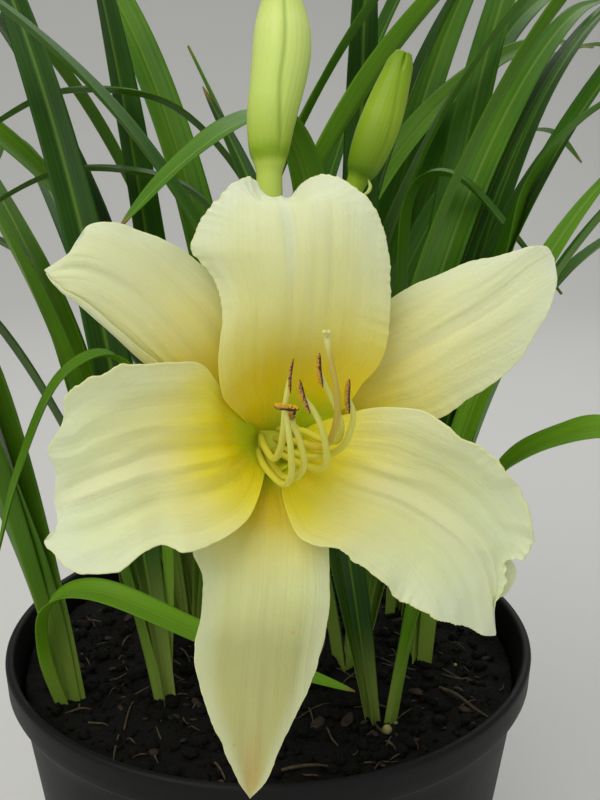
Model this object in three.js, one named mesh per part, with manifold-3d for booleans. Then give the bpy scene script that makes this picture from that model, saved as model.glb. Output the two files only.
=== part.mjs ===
// A flowering daylily growing in a round nursery pot: the pot, its compost, eleven leaf fans,
// and one flower scape that carries an open bloom and two buds.
// Millimetres, +Z up, origin at the centre of the pot's underside; the bloom faces -Y.

import * as THREE from 'three';
import * as BufferGeometryUtils from 'three/addons/utils/BufferGeometryUtils.js';
import Module from 'manifold-3d';

const wasm = await Module();
wasm.setup();

// Pot
const potHeight = 180;
const rimRadius = 112;
const footRadius = 85;
const wall = 1.8;
const floorTop = 6;
const rimBand = 14;
const rimOverhang = 5;
const footRingWidth = 9;
const footHeight = 3;
const centreDiscRadius = 30;
const drainHoles = 6;
const drainHoleRadius = 6;
const roundSegments = 36;

// Compost
const soilLevel = 168;
const fitGap = 0.4;
const crownGap = 1.5;

// Flower frame: the throat, with x to the bloom's right, y up its face and z out of it
const throat = [2.3, -134.5, 312.8];
const faceTipBack = 16.9;

// Bloom
const tepalThickness = 0.9;
const tepalSteps = 12;
const tepalAcross = 8;
const filamentRadius = 0.8;
const styleRadius = 0.95;
const antherRadius = 0.85;
const antherHalfLength = 4.6;

// Leaves
const leafThickness = 0.75;
const leafSteps = 8;
const baseDepth = 14;
const baseAlong = 11;
const baseAcross = 6.5;
const leafClearance = 13;
const clearanceSamples = 44;
const drawsPerLeaf = 120;
const leafSeed = 811;
const courseLinks = 8;
const headingSpread = 80;
const headingDrift = 60;
const rollSpread = 110;

// How the two habits lean and grow: [innermost leaf, step per rank, drawn share]
const habits = {
  arching: { startTilt: [2, 3.5, 5], endTilt: [38, 24, 55], length: [400, -25, 90] },
  upright: { startTilt: [2, 3.5, 5], endTilt: [12, 10, 25], length: [250, 0, 90] },
};

// Room that the leaves leave round the flower and the buds, in the flower frame,
// and over the pot's rim
const flowerRoom = { middle: 12, side: 112, behind: -78 };
const budRoom = { middle: 12, side: 60, behind: -95, above: 20 };
const rimRoom = { inner: 96, outer: 124, height: 14 };
const floorRoom = 30;

const degrees = Math.PI / 180;

// ---- Solids: closed meshes joined and cut, always kept as one body ----

function solid(geometry) {
  const bare = geometry.clone();
  bare.deleteAttribute('normal');
  bare.deleteAttribute('uv');
  const merged = BufferGeometryUtils.mergeVertices(bare, 1e-4);
  const corners = merged.index.array;
  const kept = [];
  for (let i = 0; i < corners.length; i += 3) {
    const [a, b, c] = [corners[i], corners[i + 1], corners[i + 2]];
    if (a !== b && b !== c && c !== a) kept.push(a, b, c);
  }
  const vertProperties = merged.attributes.position.array;
  const triVerts = new Uint32Array(kept);
  return new wasm.Manifold(new wasm.Mesh({ numProp: 3, vertProperties, triVerts }));
}

// Joins solids and keeps the largest body, so no sealed hollow or loose scrap is left
function fuse(pieces) {
  const joined = pieces.reduce((all, piece) => all.add(piece));
  const bodies = joined.decompose();
  return bodies.reduce((best, body) => (body.volume() > best.volume() ? body : best));
}

function asMesh(name, body, color, roughness) {
  const { numProp, vertProperties, triVerts } = body.getMesh();
  const geometry = new THREE.BufferGeometry();
  geometry.setAttribute('position', new THREE.BufferAttribute(vertProperties, numProp));
  geometry.setIndex(new THREE.BufferAttribute(triVerts, 1));
  const material = new THREE.MeshStandardMaterial({ color, roughness, metalness: 0 });
  const mesh = new THREE.Mesh(geometry, material);
  mesh.name = name;
  return mesh;
}

// ---- Curves, sheets and tubes ----

function vector([x, y, z]) {
  return new THREE.Vector3(x, y, z);
}

function smoothCurve(points) {
  return new THREE.CatmullRomCurve3(points.map(vector), false, 'catmullrom', 0.5);
}

function smoothStep(along) {
  const t = Math.min(Math.max(along, 0), 1);
  return t * t * (3 - 2 * t);
}

// Closes a grid of points, and turns its faces out
function closedGeometry(points, triangles) {
  const geometry = new THREE.BufferGeometry().setFromPoints(points);
  let volume = 0;
  for (const [a, b, c] of triangles) {
    volume += points[a].dot(new THREE.Vector3().crossVectors(points[b], points[c]));
  }
  geometry.setIndex(triangles.flatMap(([a, b, c]) => (volume > 0 ? [a, b, c] : [a, c, b])));
  return geometry;
}

// A thin sheet between two matching grids of points, split alike on both faces
function sheet(front, back) {
  const steps = front.length - 1;
  const across = front[0].length - 1;
  const width = across + 1;
  const points = [...front.flat(), ...back.flat()];
  const backStart = front.length * width;
  const triangles = [];
  const quad = (a, b, c, d) => triangles.push([a, b, c], [a, c, d]);
  for (let i = 0; i < steps; i += 1) {
    for (let j = 0; j < across; j += 1) {
      const corner = i * width + j;
      quad(corner, corner + 1, corner + width + 1, corner + width);
      const behind = corner + backStart;
      triangles.push([behind, behind + width + 1, behind + 1]);
      triangles.push([behind, behind + width, behind + width + 1]);
    }
    for (const [j, turned] of [[0, false], [across, true]]) {
      const a = i * width + j;
      const b = a + width;
      if (turned) quad(a, a + backStart, b + backStart, b);
      else quad(a, b, b + backStart, a + backStart);
    }
  }
  for (const [i, turned] of [[0, true], [steps, false]]) {
    for (let j = 0; j < across; j += 1) {
      const a = i * width + j;
      const b = a + 1;
      if (turned) quad(a, a + backStart, b + backStart, b);
      else quad(a, b, b + backStart, a + backStart);
    }
  }
  return solid(closedGeometry(points, triangles));
}

// A body through closed rings of points, with a centre point at each end
function throughRings(rings) {
  const sides = rings[0].length;
  const centreOf = (ring) => ring
    .reduce((sum, point) => sum.add(point), new THREE.Vector3())
    .divideScalar(sides);
  const points = [...rings.flat(), centreOf(rings[0]), centreOf(rings[rings.length - 1])];
  const firstCentre = rings.length * sides;
  const triangles = [];
  for (let i = 0; i < rings.length - 1; i += 1) {
    for (let j = 0; j < sides; j += 1) {
      const a = i * sides + j;
      const b = i * sides + ((j + 1) % sides);
      triangles.push([a, b, b + sides], [a, b + sides, a + sides]);
    }
  }
  const lastRing = (rings.length - 1) * sides;
  for (let j = 0; j < sides; j += 1) {
    const next = (j + 1) % sides;
    triangles.push([firstCentre, next, j]);
    triangles.push([firstCentre + 1, lastRing + j, lastRing + next]);
  }
  return solid(closedGeometry(points, triangles));
}

// A round stalk of even thickness along a curve
function stalk(curve, radius, sides, steps) {
  const outline = Array.from({ length: sides }, (_, i) => {
    const turn = (i / sides) * 2 * Math.PI;
    return new THREE.Vector2(radius * Math.cos(turn), radius * Math.sin(turn));
  });
  const section = new THREE.Shape(outline);
  return solid(new THREE.ExtrudeGeometry(section, { steps, extrudePath: curve }));
}

// ---- Pot and compost ----

function potWallRadius(height) {
  const slope = (rimRadius - rimOverhang - footRadius) / (potHeight - rimBand);
  return footRadius + slope * height;
}

function potShell() {
  const innerTop = potWallRadius(potHeight) - wall;
  const profile = [
    [0, 0],
    [centreDiscRadius, 0],
    [centreDiscRadius + footHeight, footHeight],
    [footRadius - footRingWidth - footHeight, footHeight],
    [footRadius - footRingWidth, 0],
    [footRadius - 1, 0],
    [footRadius, 1],
    [potWallRadius(potHeight - rimBand), potHeight - rimBand],
    [rimRadius - 1, potHeight - rimBand + 1],
    [rimRadius, potHeight - 3],
    [rimRadius - 1, potHeight - 0.6],
    [rimRadius - 2.5, potHeight],
    [innerTop + 0.8, potHeight],
    [innerTop, potHeight - 1],
    [potWallRadius(floorTop) - wall, floorTop],
    [0, floorTop],
  ];
  const points = profile.map(([radius, height]) => new THREE.Vector2(radius, height));
  const turned = new THREE.LatheGeometry(points, roundSegments).rotateX(Math.PI / 2);
  let body = solid(turned);
  const holeCircle = (centreDiscRadius + footRadius - footRingWidth) / 2;
  for (let i = 0; i < drainHoles; i += 1) {
    const turn = (i / drainHoles) * 2 * Math.PI;
    const drill = new THREE.CylinderGeometry(drainHoleRadius, drainHoleRadius, 3 * floorTop, 10)
      .rotateX(Math.PI / 2)
      .translate(holeCircle * Math.cos(turn), holeCircle * Math.sin(turn), 0);
    body = body.subtract(solid(drill));
  }
  return body;
}

// The compost's surface, rough with crumbs and settled towards the wall
function soilHeight(x, y) {
  const crumbs = Math.sin(x / 6.1 + 0.7) * Math.cos(y / 5.3 - 0.4) + 0.7 * Math.sin((x + y) / 4.3);
  const swell = 1.6 * Math.sin(x / 23 + 0.4) * Math.cos(y / 19);
  return soilLevel + crumbs + swell - 2.5 * (Math.hypot(x, y) / rimRadius) ** 4;
}

function compost(holes) {
  const floor = floorTop + fitGap;
  const radiusAt = (height) => potWallRadius(height) - wall - fitGap;
  const rings = [24, 48, 70, 92];
  const edge = soilLevel - 3;
  const profile = [[0, floor], [radiusAt(floor), floor], [radiusAt(edge), edge]];
  rings.reverse().forEach((radius) => profile.push([radius, soilLevel]));
  profile.push([0, soilLevel]);
  const points = profile.map(([radius, height]) => new THREE.Vector2(radius, height));
  const turned = new THREE.LatheGeometry(points, roundSegments).rotateX(Math.PI / 2);
  const { position } = turned.attributes;
  for (let i = 0; i < position.count; i += 1) {
    const [x, y, z] = [position.getX(i), position.getY(i), position.getZ(i)];
    if (z > soilLevel - 1) position.setZ(i, soilHeight(x, y));
  }
  return holes.reduce((body, hole) => body.subtract(hole), solid(turned));
}

// An upright oval plug, as the crown of a fan or the hole that it stands in
function oval({ x, y, azimuth }, along, across, bottom, top) {
  const body = new THREE.CylinderGeometry(1, 1, top - bottom, 12)
    .rotateX(Math.PI / 2)
    .scale(along, across, 1)
    .rotateZ(azimuth * degrees)
    .translate(x, y, (top + bottom) / 2);
  return solid(body);
}

// ---- Leaves ----

// Each fan stands on its own crown; its leaves part to both sides along the azimuth.
// The chosen leaves keep their own courses, and the rest are drawn by the rule below.
const fans = [
  {
    x: 46, y: -50, azimuth: 165, leaves: 5, width: 13, upright: true,
    chosen: [],
  },
  {
    x: 34, y: -12, azimuth: 15, leaves: 5, width: 17,
    chosen: [
      { width: 17, points: [[39, -11], [39, 2, 241], [38, 16, 311], [38, 28, 379], [39, 34, 439],
        [41, 36, 500]] },
    ],
  },
  {
    x: 63, y: -8, azimuth: 25, leaves: 4, width: 16,
    chosen: [
      { width: 15, points: [[67, -7], [71, -5, 251], [84, -5, 310], [95, -5, 346], [102, -8, 376],
        [123, -15, 401], [153, -25, 413]] },
      { width: 13, points: [[68, -8], [72, -14, 209], [82, -22, 244], [95, -28, 266],
        [112, -37, 281], [128, -46, 288], [152, -60, 285]] },
    ],
  },
  {
    x: -38, y: -39, azimuth: 172, leaves: 6, width: 15,
    chosen: [
      { width: 10, points: [[-42, -38], [-40, -35, 229], [-42, -35, 279], [-54, -40, 312],
        [-73, -50, 307], [-87, -62, 277], [-95, -72, 248]] },
    ],
  },
  {
    x: -76, y: -36, azimuth: 205, leaves: 5, width: 15,
    chosen: [
      { width: 11, points: [[-79, -38], [-85, -47, 196], [-81, -56, 222], [-61, -63, 231],
        [-24, -67, 216], [6, -67, 202], [34, -66, 190]] },
    ],
  },
  {
    x: -34, y: 22, azimuth: 150, leaves: 6, width: 17,
    chosen: [
      { width: 12, points: [[-30, 20], [-19, 20, 278], [-16, 24, 337], [-34, 30, 366],
        [-77, 30, 374], [-110, 25, 362], [-134, 15, 340]] },
    ],
  },
  {
    x: 12, y: 28, azimuth: 20, leaves: 6, width: 17,
    chosen: [
      { width: 13, points: [[7, 28], [7, 38, 276], [-2, 44, 349], [-36, 42, 396], [-78, 36, 405],
        [-107, 26, 394], [-133, 12, 372]] },
      { width: 15, points: [[16, 26], [20, 6, 280], [17, -16, 364], [6, -33, 396],
        [-8, -52, 396], [-26, -74, 384], [-42, -92, 368]] },
    ],
  },
  {
    x: 58, y: 38, azimuth: 40, leaves: 7, width: 18,
    chosen: [
      { width: 13, points: [[56, 36], [60, 28, 275], [57, 21, 340], [61, 18, 369], [76, 15, 372],
        [96, 14, 353], [120, 10, 326]] },
    ],
  },
  {
    x: -12, y: 74, azimuth: 160, leaves: 7, width: 18,
    chosen: [],
  },
  {
    x: -66, y: 42, azimuth: 130, leaves: 6, width: 17,
    chosen: [],
  },
  {
    x: 32, y: 80, azimuth: 20, leaves: 6, width: 18,
    chosen: [],
  },
];

const crownTop = soilLevel - 6;
const crownBottom = soilLevel - 22;
const rootHeight = soilLevel - baseDepth;

function halfWidthAt(along) {
  const growth = 0.56 + 0.44 * smoothStep(along / 0.35);
  return growth * (1 - along ** 3.2) ** 0.8 + 0.05;
}

// A channelled blade, folded deep where it leaves the fan and opening along its keel
function leafBlade({ points, width, roll = 0 }) {
  const curve = smoothCurve(points);
  const [root, tip] = [points[0], points[points.length - 1]];
  const reach = new THREE.Vector3(tip[0] - root[0], tip[1] - root[1], 0).normalize();
  const level = new THREE.Vector3(-reach.y, reach.x, 0);
  const front = [];
  const back = [];
  for (let i = 0; i <= leafSteps; i += 1) {
    const along = i / leafSteps;
    const centre = curve.getPoint(along);
    const course = curve.getTangent(along);
    const across = level.clone().addScaledVector(course, -level.dot(course)).normalize();
    across.applyAxisAngle(course, roll * degrees * smoothStep((along - 0.1) / 0.9));
    const face = new THREE.Vector3().crossVectors(course, across).normalize();
    const fold = (58 - 40 * smoothStep(along / 0.3)) * degrees;
    const half = (width / 2) * halfWidthAt(along);
    const spread = half * Math.cos(fold);
    const lift = half * Math.sin(fold);
    const depth = leafThickness / Math.cos(fold);
    const edge = (side) => centre.clone()
      .addScaledVector(across, side * spread)
      .addScaledVector(face, lift);
    front.push([edge(-1), centre.clone(), edge(1)]);
    back.push([
      edge(-1).addScaledVector(face, -depth),
      centre.clone().addScaledVector(face, -1.25 * depth),
      edge(1).addScaledVector(face, -depth),
    ]);
  }
  return sheet(front, back);
}

// Park and Miller's draws, the same on every run
function drawsFrom(seed) {
  let state = seed;
  return () => {
    state = (state * 16807) % 2147483647;
    return state / 2147483647;
  };
}

const draw = drawsFrom(leafSeed);

// A leaf's course: upright from the crown, then arching over under its own weight
function drawnCourse(fan, rank, side) {
  const habit = fan.upright ? habits.upright : habits.arching;
  const pick = ([innermost, perRank, drawn]) => innermost + perRank * rank + drawn * draw();
  const spread = (draw() - 0.5) * headingSpread;
  const drift = (draw() - 0.5) * headingDrift;
  const startTilt = pick(habit.startTilt);
  const endTilt = pick(habit.endTilt);
  const link = pick(habit.length) / courseLinks;
  const heading = fan.azimuth + (side > 0 ? 0 : 180);
  const offset = 1.5 * (1 + rank);
  const points = [[
    fan.x + offset * Math.cos(heading * degrees),
    fan.y + offset * Math.sin(heading * degrees),
    rootHeight,
  ]];
  for (let i = 0; i < courseLinks; i += 1) {
    const along = (i + 0.5) / courseLinks;
    const tilt = (startTilt + (endTilt - startTilt) * along ** 1.9) * degrees;
    const turn = (heading + spread * smoothStep(along * 3) + drift * along) * degrees;
    const [x, y, z] = points[i];
    points.push([
      x + link * Math.sin(tilt) * Math.cos(turn),
      y + link * Math.sin(tilt) * Math.sin(turn),
      z + link * Math.cos(tilt),
    ]);
  }
  return points;
}

function samplesOf(points) {
  const curve = smoothCurve(points);
  return Array.from({ length: clearanceSamples }, (_, i) => (
    curve.getPoint(0.08 + (0.92 * i) / (clearanceSamples - 1))
  ));
}

const flowerFrame = new THREE.Matrix4()
  .makeRotationX((90 - faceTipBack) * degrees)
  .setPosition(...throat);
const toFlower = flowerFrame.clone().invert();

// Leaves stay behind the flower, over the pot's rim and off the ground
function standsFree(point) {
  const inFlower = point.clone().applyMatrix4(toFlower);
  const isBeside = ({ middle, side }) => Math.abs(inFlower.x - middle) < side;
  if (inFlower.z > flowerRoom.behind && isBeside(flowerRoom)) return false;
  const isHigh = inFlower.y > budRoom.above;
  if (inFlower.z > budRoom.behind && isHigh && isBeside(budRoom)) return false;
  const radius = Math.hypot(point.x, point.y);
  if (radius < rimRoom.inner) return point.z > rootHeight;
  if (radius < rimRoom.outer) return point.z > potHeight + rimRoom.height;
  return point.z > floorRoom;
}

function keepsClear(samples, others) {
  const nearest = leafClearance ** 2;
  return others.every((other) => other.every((point) => (
    samples.every((sample) => sample.distanceToSquared(point) > nearest)
  )));
}

const scapeFoot = { x: 6, y: -30 };
const scapePath = [
  [scapeFoot.x, scapeFoot.y, rootHeight],
  [6, -34, 200],
  [5, -55, 252],
  [3.5, -73, 288],
  [6, -76, 318],
  [8.3, -71.7, 340.7],
];

function growFans() {
  const scapeSamples = samplesOf(scapePath);
  const courses = fans.map((fan) => fan.chosen.map((leaf) => {
    const [[x, y], ...rest] = leaf.points;
    return { ...leaf, points: [[x, y, rootHeight], ...rest] };
  }));
  const taken = courses.map((leaves) => leaves.map((leaf) => samplesOf(leaf.points)));
  fans.forEach((fan, own) => {
    for (let i = 0; i < fan.leaves; i += 1) {
      const side = i % 2 === 0 ? 1 : -1;
      const rank = Math.floor(i / 2);
      for (let attempt = 0; attempt < drawsPerLeaf; attempt += 1) {
        const points = drawnCourse(fan, rank, side);
        const roll = (draw() - 0.5) * rollSpread;
        const samples = samplesOf(points);
        const others = taken.filter((_, k) => k !== own).flat();
        const free = samples.every(standsFree) && keepsClear(samples, [...others, scapeSamples]);
        if (free) {
          const width = fan.width * (1.05 - 0.06 * rank);
          courses[own].push({ points, width, roll });
          taken[own].push(samples);
          break;
        }
      }
    }
  });
  return fans.map((fan, k) => fuse([
    oval(fan, baseAlong, baseAcross, crownBottom, crownTop),
    ...courses[k].map(leafBlade),
  ]));
}

// ---- Bloom, in the flower frame ----

// Each tepal is a sheet through three lines that run from the tube to the tip:
// its left edge, its midrib and its right edge, as seen from the front.
const tepals = {
  sepalLeft: {
    left: [[-7, -0.5, -26], [-11, 4, -15], [-22, 12, -4], [-33.5, 21, 7], [-43.5, 30, 14],
      [-51, 38.5, 17], [-56, 43.5, 17], [-58, 45.5, 15]],
    midrib: [[-5.4, 4.6, -26], [-9, 9, -16], [-15, 18.5, -5], [-25, 31, 7], [-36, 42, 15],
      [-45.5, 47, 19], [-53, 47.5, 19], [-58.5, 46.5, 15]],
    right: [[-0.5, 7, -26], [-4, 13, -15], [-9, 32, -7], [-17.5, 49.5, 3], [-30.5, 56.5, 11],
      [-42.5, 59.5, 15], [-49.5, 54.5, 17], [-58, 47.3, 15]],
    ruffle: 0.5,
  },
  sepalRight: {
    left: [[1, 7, -26], [10, 16, -17], [23, 32, -11], [37, 40.5, -5], [52, 48, 0],
      [66.5, 53, 1], [79.5, 56, -3], [85.5, 54, -12]],
    midrib: [[5.8, 4, -26], [12, 9, -18], [24, 18.5, -9], [38, 28.5, -3], [53.5, 36.5, 0],
      [68, 43.5, -1], [79, 49, -6], [86, 53.2, -12]],
    right: [[6.8, -1.8, -26], [18, 2, -18], [34, 2, -11], [49, 5, -5], [62.5, 13.5, 0],
      [75.5, 25.5, 0], [85.5, 43.5, -6], [86.3, 52.3, -12]],
    ruffle: 0.5,
  },
  sepalBottom: {
    left: [[5, -5, -26], [10, -12, -14], [18, -26.5, -7], [19.5, -42.5, -2], [17, -60, 0],
      [11.5, -75.5, -3], [4.5, -92, -9], [-3.3, -108, -16]],
    midrib: [[-0.2, -7, -26], [1.5, -13, -15], [1.5, -23.5, -8], [1, -40, -3], [-0.5, -57, -1],
      [-2, -74.5, -4], [-3, -92.5, -9], [-3.9, -108, -16]],
    right: [[-5.4, -4.6, -26], [-8, -12, -14], [-18, -26.5, -7], [-17, -43, -2],
      [-19, -60.5, 1], [-17, -74.5, -2], [-10, -93, -8], [-4.5, -108, -16]],
    ruffle: 0.4,
  },
  petalTop: {
    left: [[-4.2, 4.2, -26], [-8, 8, -7], [-13, 22, 4], [-10.5, 35, 7], [-19.5, 53, 8],
      [-15, 65, 8], [-5.5, 74.5, 3], [5.5, 69, -7]],
    midrib: [[0.5, 5.8, -26], [4, 11, -10], [7, 21.5, 2], [8.5, 34, 11], [8.5, 48.5, 17],
      [7.5, 60, 17], [6.5, 69.5, 9], [6.5, 68.5, -7]],
    right: [[4.7, 3.6, -26], [18, 9, -6], [31, 19.5, 3], [36, 32.5, 7], [36, 48, 9],
      [31.5, 65, 10], [17.5, 75, 4], [7.5, 69, -7]],
    ruffle: 1.1,
  },
  petalLeft: {
    left: [[-2.8, -5, -26], [-2, -14, -6], [-4.5, -24.5, 6], [-20.5, -29.5, 14], [-38, -34, 13],
      [-50, -37, 13], [-60, -28.5, 9], [-57.5, -18.5, -4]],
    midrib: [[-5.8, -1, -26], [-8, -3, -11], [-15, -4, 3], [-26, -6, 13], [-40, -9, 19],
      [-50.5, -13.5, 19], [-57, -16, 12], [-57.5, -17.3, -4]],
    right: [[-4.7, 3.4, -26], [-8, 6, -7], [-15.5, 20.5, 6], [-27.5, 21.5, 13], [-41, 19.5, 15],
      [-52, 13.5, 14], [-59.5, -2, 9], [-57.5, -16, -4]],
    ruffle: 1.4,
  },
  petalRight: {
    left: [[5.3, 2.5, -26], [16, 6, -9], [28.5, 7.5, -2], [43.5, 8.5, 2], [59.5, -1, 2],
      [73, -14.5, -4], [78, -33.5, -12], [70, -58.8, -18]],
    midrib: [[5, -3, -26], [9, -4.5, -13], [18, -7, -4], [30, -12, 2], [43.5, -19.5, 3],
      [56, -30, -1], [66, -44.5, -9], [69.5, -59.3, -18]],
    right: [[1, -5.7, -26], [6, -14, -8], [11, -27, -2], [22.5, -31, 3], [37, -43, 2],
      [50, -51.5, -3], [62.5, -57, -11], [69, -59.8, -18]],
    ruffle: 1.4,
  },
};

// A point of the tepal's face: along runs from tube to tip, across from -1 to 1
function tepalPoint(tepal, along, across) {
  const left = smoothCurve(tepal.left).getPoint(along);
  const midrib = smoothCurve(tepal.midrib).getPoint(along);
  const right = smoothCurve(tepal.right).getPoint(along);
  const half = right.clone().sub(left).divideScalar(2);
  const camber = right.clone().add(left).divideScalar(2).sub(midrib);
  return midrib.addScaledVector(half, across).addScaledVector(camber, across * across);
}

function tepalNormal(tepal, along, across) {
  const step = 0.01;
  const [before, after] = [Math.max(along - step, 0), Math.min(along + step, 1)];
  const lengthwise = tepalPoint(tepal, after, across).sub(tepalPoint(tepal, before, across));
  const crosswise = tepalPoint(tepal, along, across + step)
    .sub(tepalPoint(tepal, along, across - step));
  return crosswise.cross(lengthwise).normalize();
}

// Waves that grow towards the margin and fade out at the tube and the tip
function ruffleAt(tepal, along, across) {
  const waves = Math.sin(along * 31 + (across > 0 ? 0.6 : 2.4));
  return tepal.ruffle * Math.abs(across) ** 3 * waves * smoothStep(along * 3) * smoothStep((1 - along) * 6);
}

function tepalSheet(tepal) {
  const front = [];
  const back = [];
  for (let i = 0; i <= tepalSteps; i += 1) {
    const along = i / tepalSteps;
    const frontRow = [];
    const backRow = [];
    for (let j = 0; j <= tepalAcross; j += 1) {
      const across = (2 * j) / tepalAcross - 1;
      const normal = tepalNormal(tepal, along, across);
      const point = tepalPoint(tepal, along, across);
      point.addScaledVector(normal, ruffleAt(tepal, along, across));
      frontRow.push(point);
      backRow.push(point.clone().addScaledVector(normal, -tepalThickness));
    }
    front.push(frontRow);
    back.push(backRow);
  }
  return sheet(front, back);
}

// Rings round a curve, by a radius along it and a shape round it
function ringsAlong(points, radii, sides, shape = () => 1) {
  const curve = smoothCurve(points);
  const steps = radii.length - 1;
  const sideways = new THREE.Vector3(1, 0, 0);
  return radii.map((radius, i) => {
    const along = i / steps;
    const course = curve.getTangent(along);
    const first = sideways.clone().addScaledVector(course, -sideways.dot(course)).normalize();
    const second = new THREE.Vector3().crossVectors(course, first);
    return Array.from({ length: sides }, (_, j) => {
      const turn = (j / sides) * 2 * Math.PI;
      const reach = radius * shape(turn, along);
      return curve.getPoint(along)
        .addScaledVector(first, reach * Math.cos(turn))
        .addScaledVector(second, reach * Math.sin(turn));
    });
  });
}

function perianth() {
  const course = [[0, 0, -24], [0, 0, -30], [-2, 1.6, -39], [-5, 4, -50]];
  const tube = ringsAlong(course, [8.3, 7.4, 5.4, 4.3, 3.7, 3.4], 16);
  return fuse([throughRings(tube), ...Object.values(tepals).map(tepalSheet)]);
}

// The six filaments rise together round the style, then curve up one by one
const stamens = [
  { filament: [[-1.6, 2.7, -22], [0.5, -2, -6], [3.5, -5, 6], [5.5, -2, 16], [6.5, 3.5, 24],
    [7, 10, 28], [8.3, 17.5, 30]], lean: [0.08, 1, 0] },
  { filament: [[-2.9, -1.1, -22], [0.5, -7.5, -4], [6, -12, 8], [8.5, -9, 18], [8.5, -2, 26],
    [7.8, 4, 30], [7, 9.5, 32]], lean: [-1, 0.18, 0] },
  { filament: [[-1, -2.9, -22], [5, -9.5, 2], [9.5, -10, 12], [12, -6, 20], [11, 0, 24.5],
    [9.2, 5, 26], [8.8, 7.6, 25]], lean: [0.1, 0.3, 1] },
  { filament: [[0.9, -3, -22], [11, -6.5, 4], [16.5, -7.5, 13], [18, -4.5, 20], [17, 2.5, 27],
    [14.5, 8.5, 31], [11.6, 12.2, 33]], lean: [-0.3, 1, 0] },
  { filament: [[1.2, 2.9, -22], [11.5, 2.6, -2], [17, 0.3, 6], [21, 0.3, 13], [22, 4, 19],
    [20.5, 9, 24], [15.8, 19, 29]], lean: [-0.1, 1, 0] },
  { filament: [[2.6, -1.7, -22], [11.5, -4.5, -1], [18, -4, 8], [22.5, -1.2, 15], [24.5, 3.5, 20],
    [25, 8, 24], [23.2, 12.3, 26]], lean: [0, 1, 0] },
];

const stylePath = [[-0.5, 0, -23.5], [10, -0.7, -5], [16.8, -1.6, 11], [19.5, 2, 22], [20.6, 8.5, 30],
  [20, 15, 35], [18.5, 22, 38], [17.5, 28, 40]];

function filaments() {
  const crown = [[2.2, -23.6], [4.4, -23.6], [4.1, -20.8], [2.2, -20.8], [2.2, -23.6]];
  const profile = crown.map(([radius, height]) => new THREE.Vector2(radius, height));
  const ring = new THREE.LatheGeometry(profile, 18).rotateX(Math.PI / 2);
  const threads = stamens.map(({ filament }) => stalk(smoothCurve(filament), filamentRadius, 6, 10));
  return fuse([solid(ring), ...threads]);
}

function anther({ filament, lean }) {
  const along = vector(lean).normalize();
  const endOn = along.z > 0.5;
  const length = endOn ? antherHalfLength * 0.6 : antherHalfLength;
  const gap = filamentRadius + fitGap + (endOn ? length : antherRadius);
  const [x, y, z] = filament[filament.length - 1];
  const turn = new THREE.Quaternion().setFromUnitVectors(new THREE.Vector3(0, 1, 0), along);
  const body = new THREE.SphereGeometry(1, 8, 6)
    .scale(antherRadius, length, antherRadius)
    .applyQuaternion(turn)
    .translate(x, y, z + gap);
  return solid(body);
}

function pistil() {
  const style = stalk(smoothCurve(stylePath), styleRadius, 6, 16);
  const [x, y, z] = stylePath[stylePath.length - 1];
  const stigma = new THREE.SphereGeometry(1.4, 8, 6).translate(x, y, z);
  return fuse([style, solid(stigma)]);
}

// Buds keep the three closed sepals' seams as grooves down their sides
function bud(points, radii) {
  const seams = (turn, along) => {
    const groove = Math.max(0, Math.cos(3 * (turn - 0.35))) ** 6;
    return 1 - 0.09 * groove * smoothStep((along - 0.2) / 0.2);
  };
  return throughRings(ringsAlong(points, radii, 18, seams));
}

const bigBud = {
  points: [[2.5, 70, -43], [0.9, 92, -42], [3.7, 115, -41], [5, 148, -40]],
  radii: [3, 3.1, 3.3, 4.5, 6.4, 7.6, 8.4, 9.1, 9.5, 9.4, 8.6, 7, 4.4, 0.9],
};
const smallBud = {
  points: [[26, 74.5, -44], [32.5, 90, -42.5], [38.8, 107, -41], [45, 125, -40]],
  radii: [3, 3.1, 3.6, 5.2, 6.2, 6.7, 6.9, 6.7, 6, 4.8, 3.2, 0.9],
};

// ---- Scape: one stem that forks to the bloom and the two buds ----

function scape() {
  const inFlower = (points) => points.map((point) => vector(point).applyMatrix4(flowerFrame).toArray());
  const branches = [
    [[2, -5, -62], [-3, 0, -63], [-6, 4.7, -58], [-5.2, 4.15, -50.9]],
    [[6, 44, -52], [4.4, 57, -46], [2.6, 69.4, -43.1]],
    [[6, 42, -52], [15, 57, -48], [25.6, 73.8, -44.1]],
  ];
  const stems = branches.map((points) => stalk(smoothCurve(inFlower(points)), 2.8, 8, 6));
  const bracts = [
    { width: 7, points: [[7, 40, -53], [13, 50, -58], [16, 66, -60], [15, 84, -57]] },
    { width: 6, points: [[1, -6, -64], [-5, 0, -69], [-8, 14, -71], [-8, 26, -69]] },
  ].map(({ width, points }) => leafBlade({ width, points: inFlower(points) }));
  return fuse([stalk(smoothCurve(scapePath), 3.3, 8, 12), ...stems, ...bracts]);
}

// ---- Assembly ----

const plant = new THREE.Group();

const holes = fans.map((fan) => oval(
  fan,
  baseAlong + crownGap,
  baseAcross + crownGap,
  crownBottom - fitGap,
  soilLevel + 20,
));
const scapeHole = oval({ ...scapeFoot, azimuth: 0 }, 4, 4, rootHeight - 1, soilLevel + 20);

plant.add(asMesh('pot', potShell(), '#1a1a1b', 0.55));
plant.add(asMesh('compost', compost([...holes, scapeHole]), '#1d1712', 0.95));
growFans().forEach((fan, i) => plant.add(asMesh(`fan_${i + 1}`, fan, '#3f6b22', 0.5)));
plant.add(asMesh('scape', scape(), '#7f9a3c', 0.5));

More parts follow.
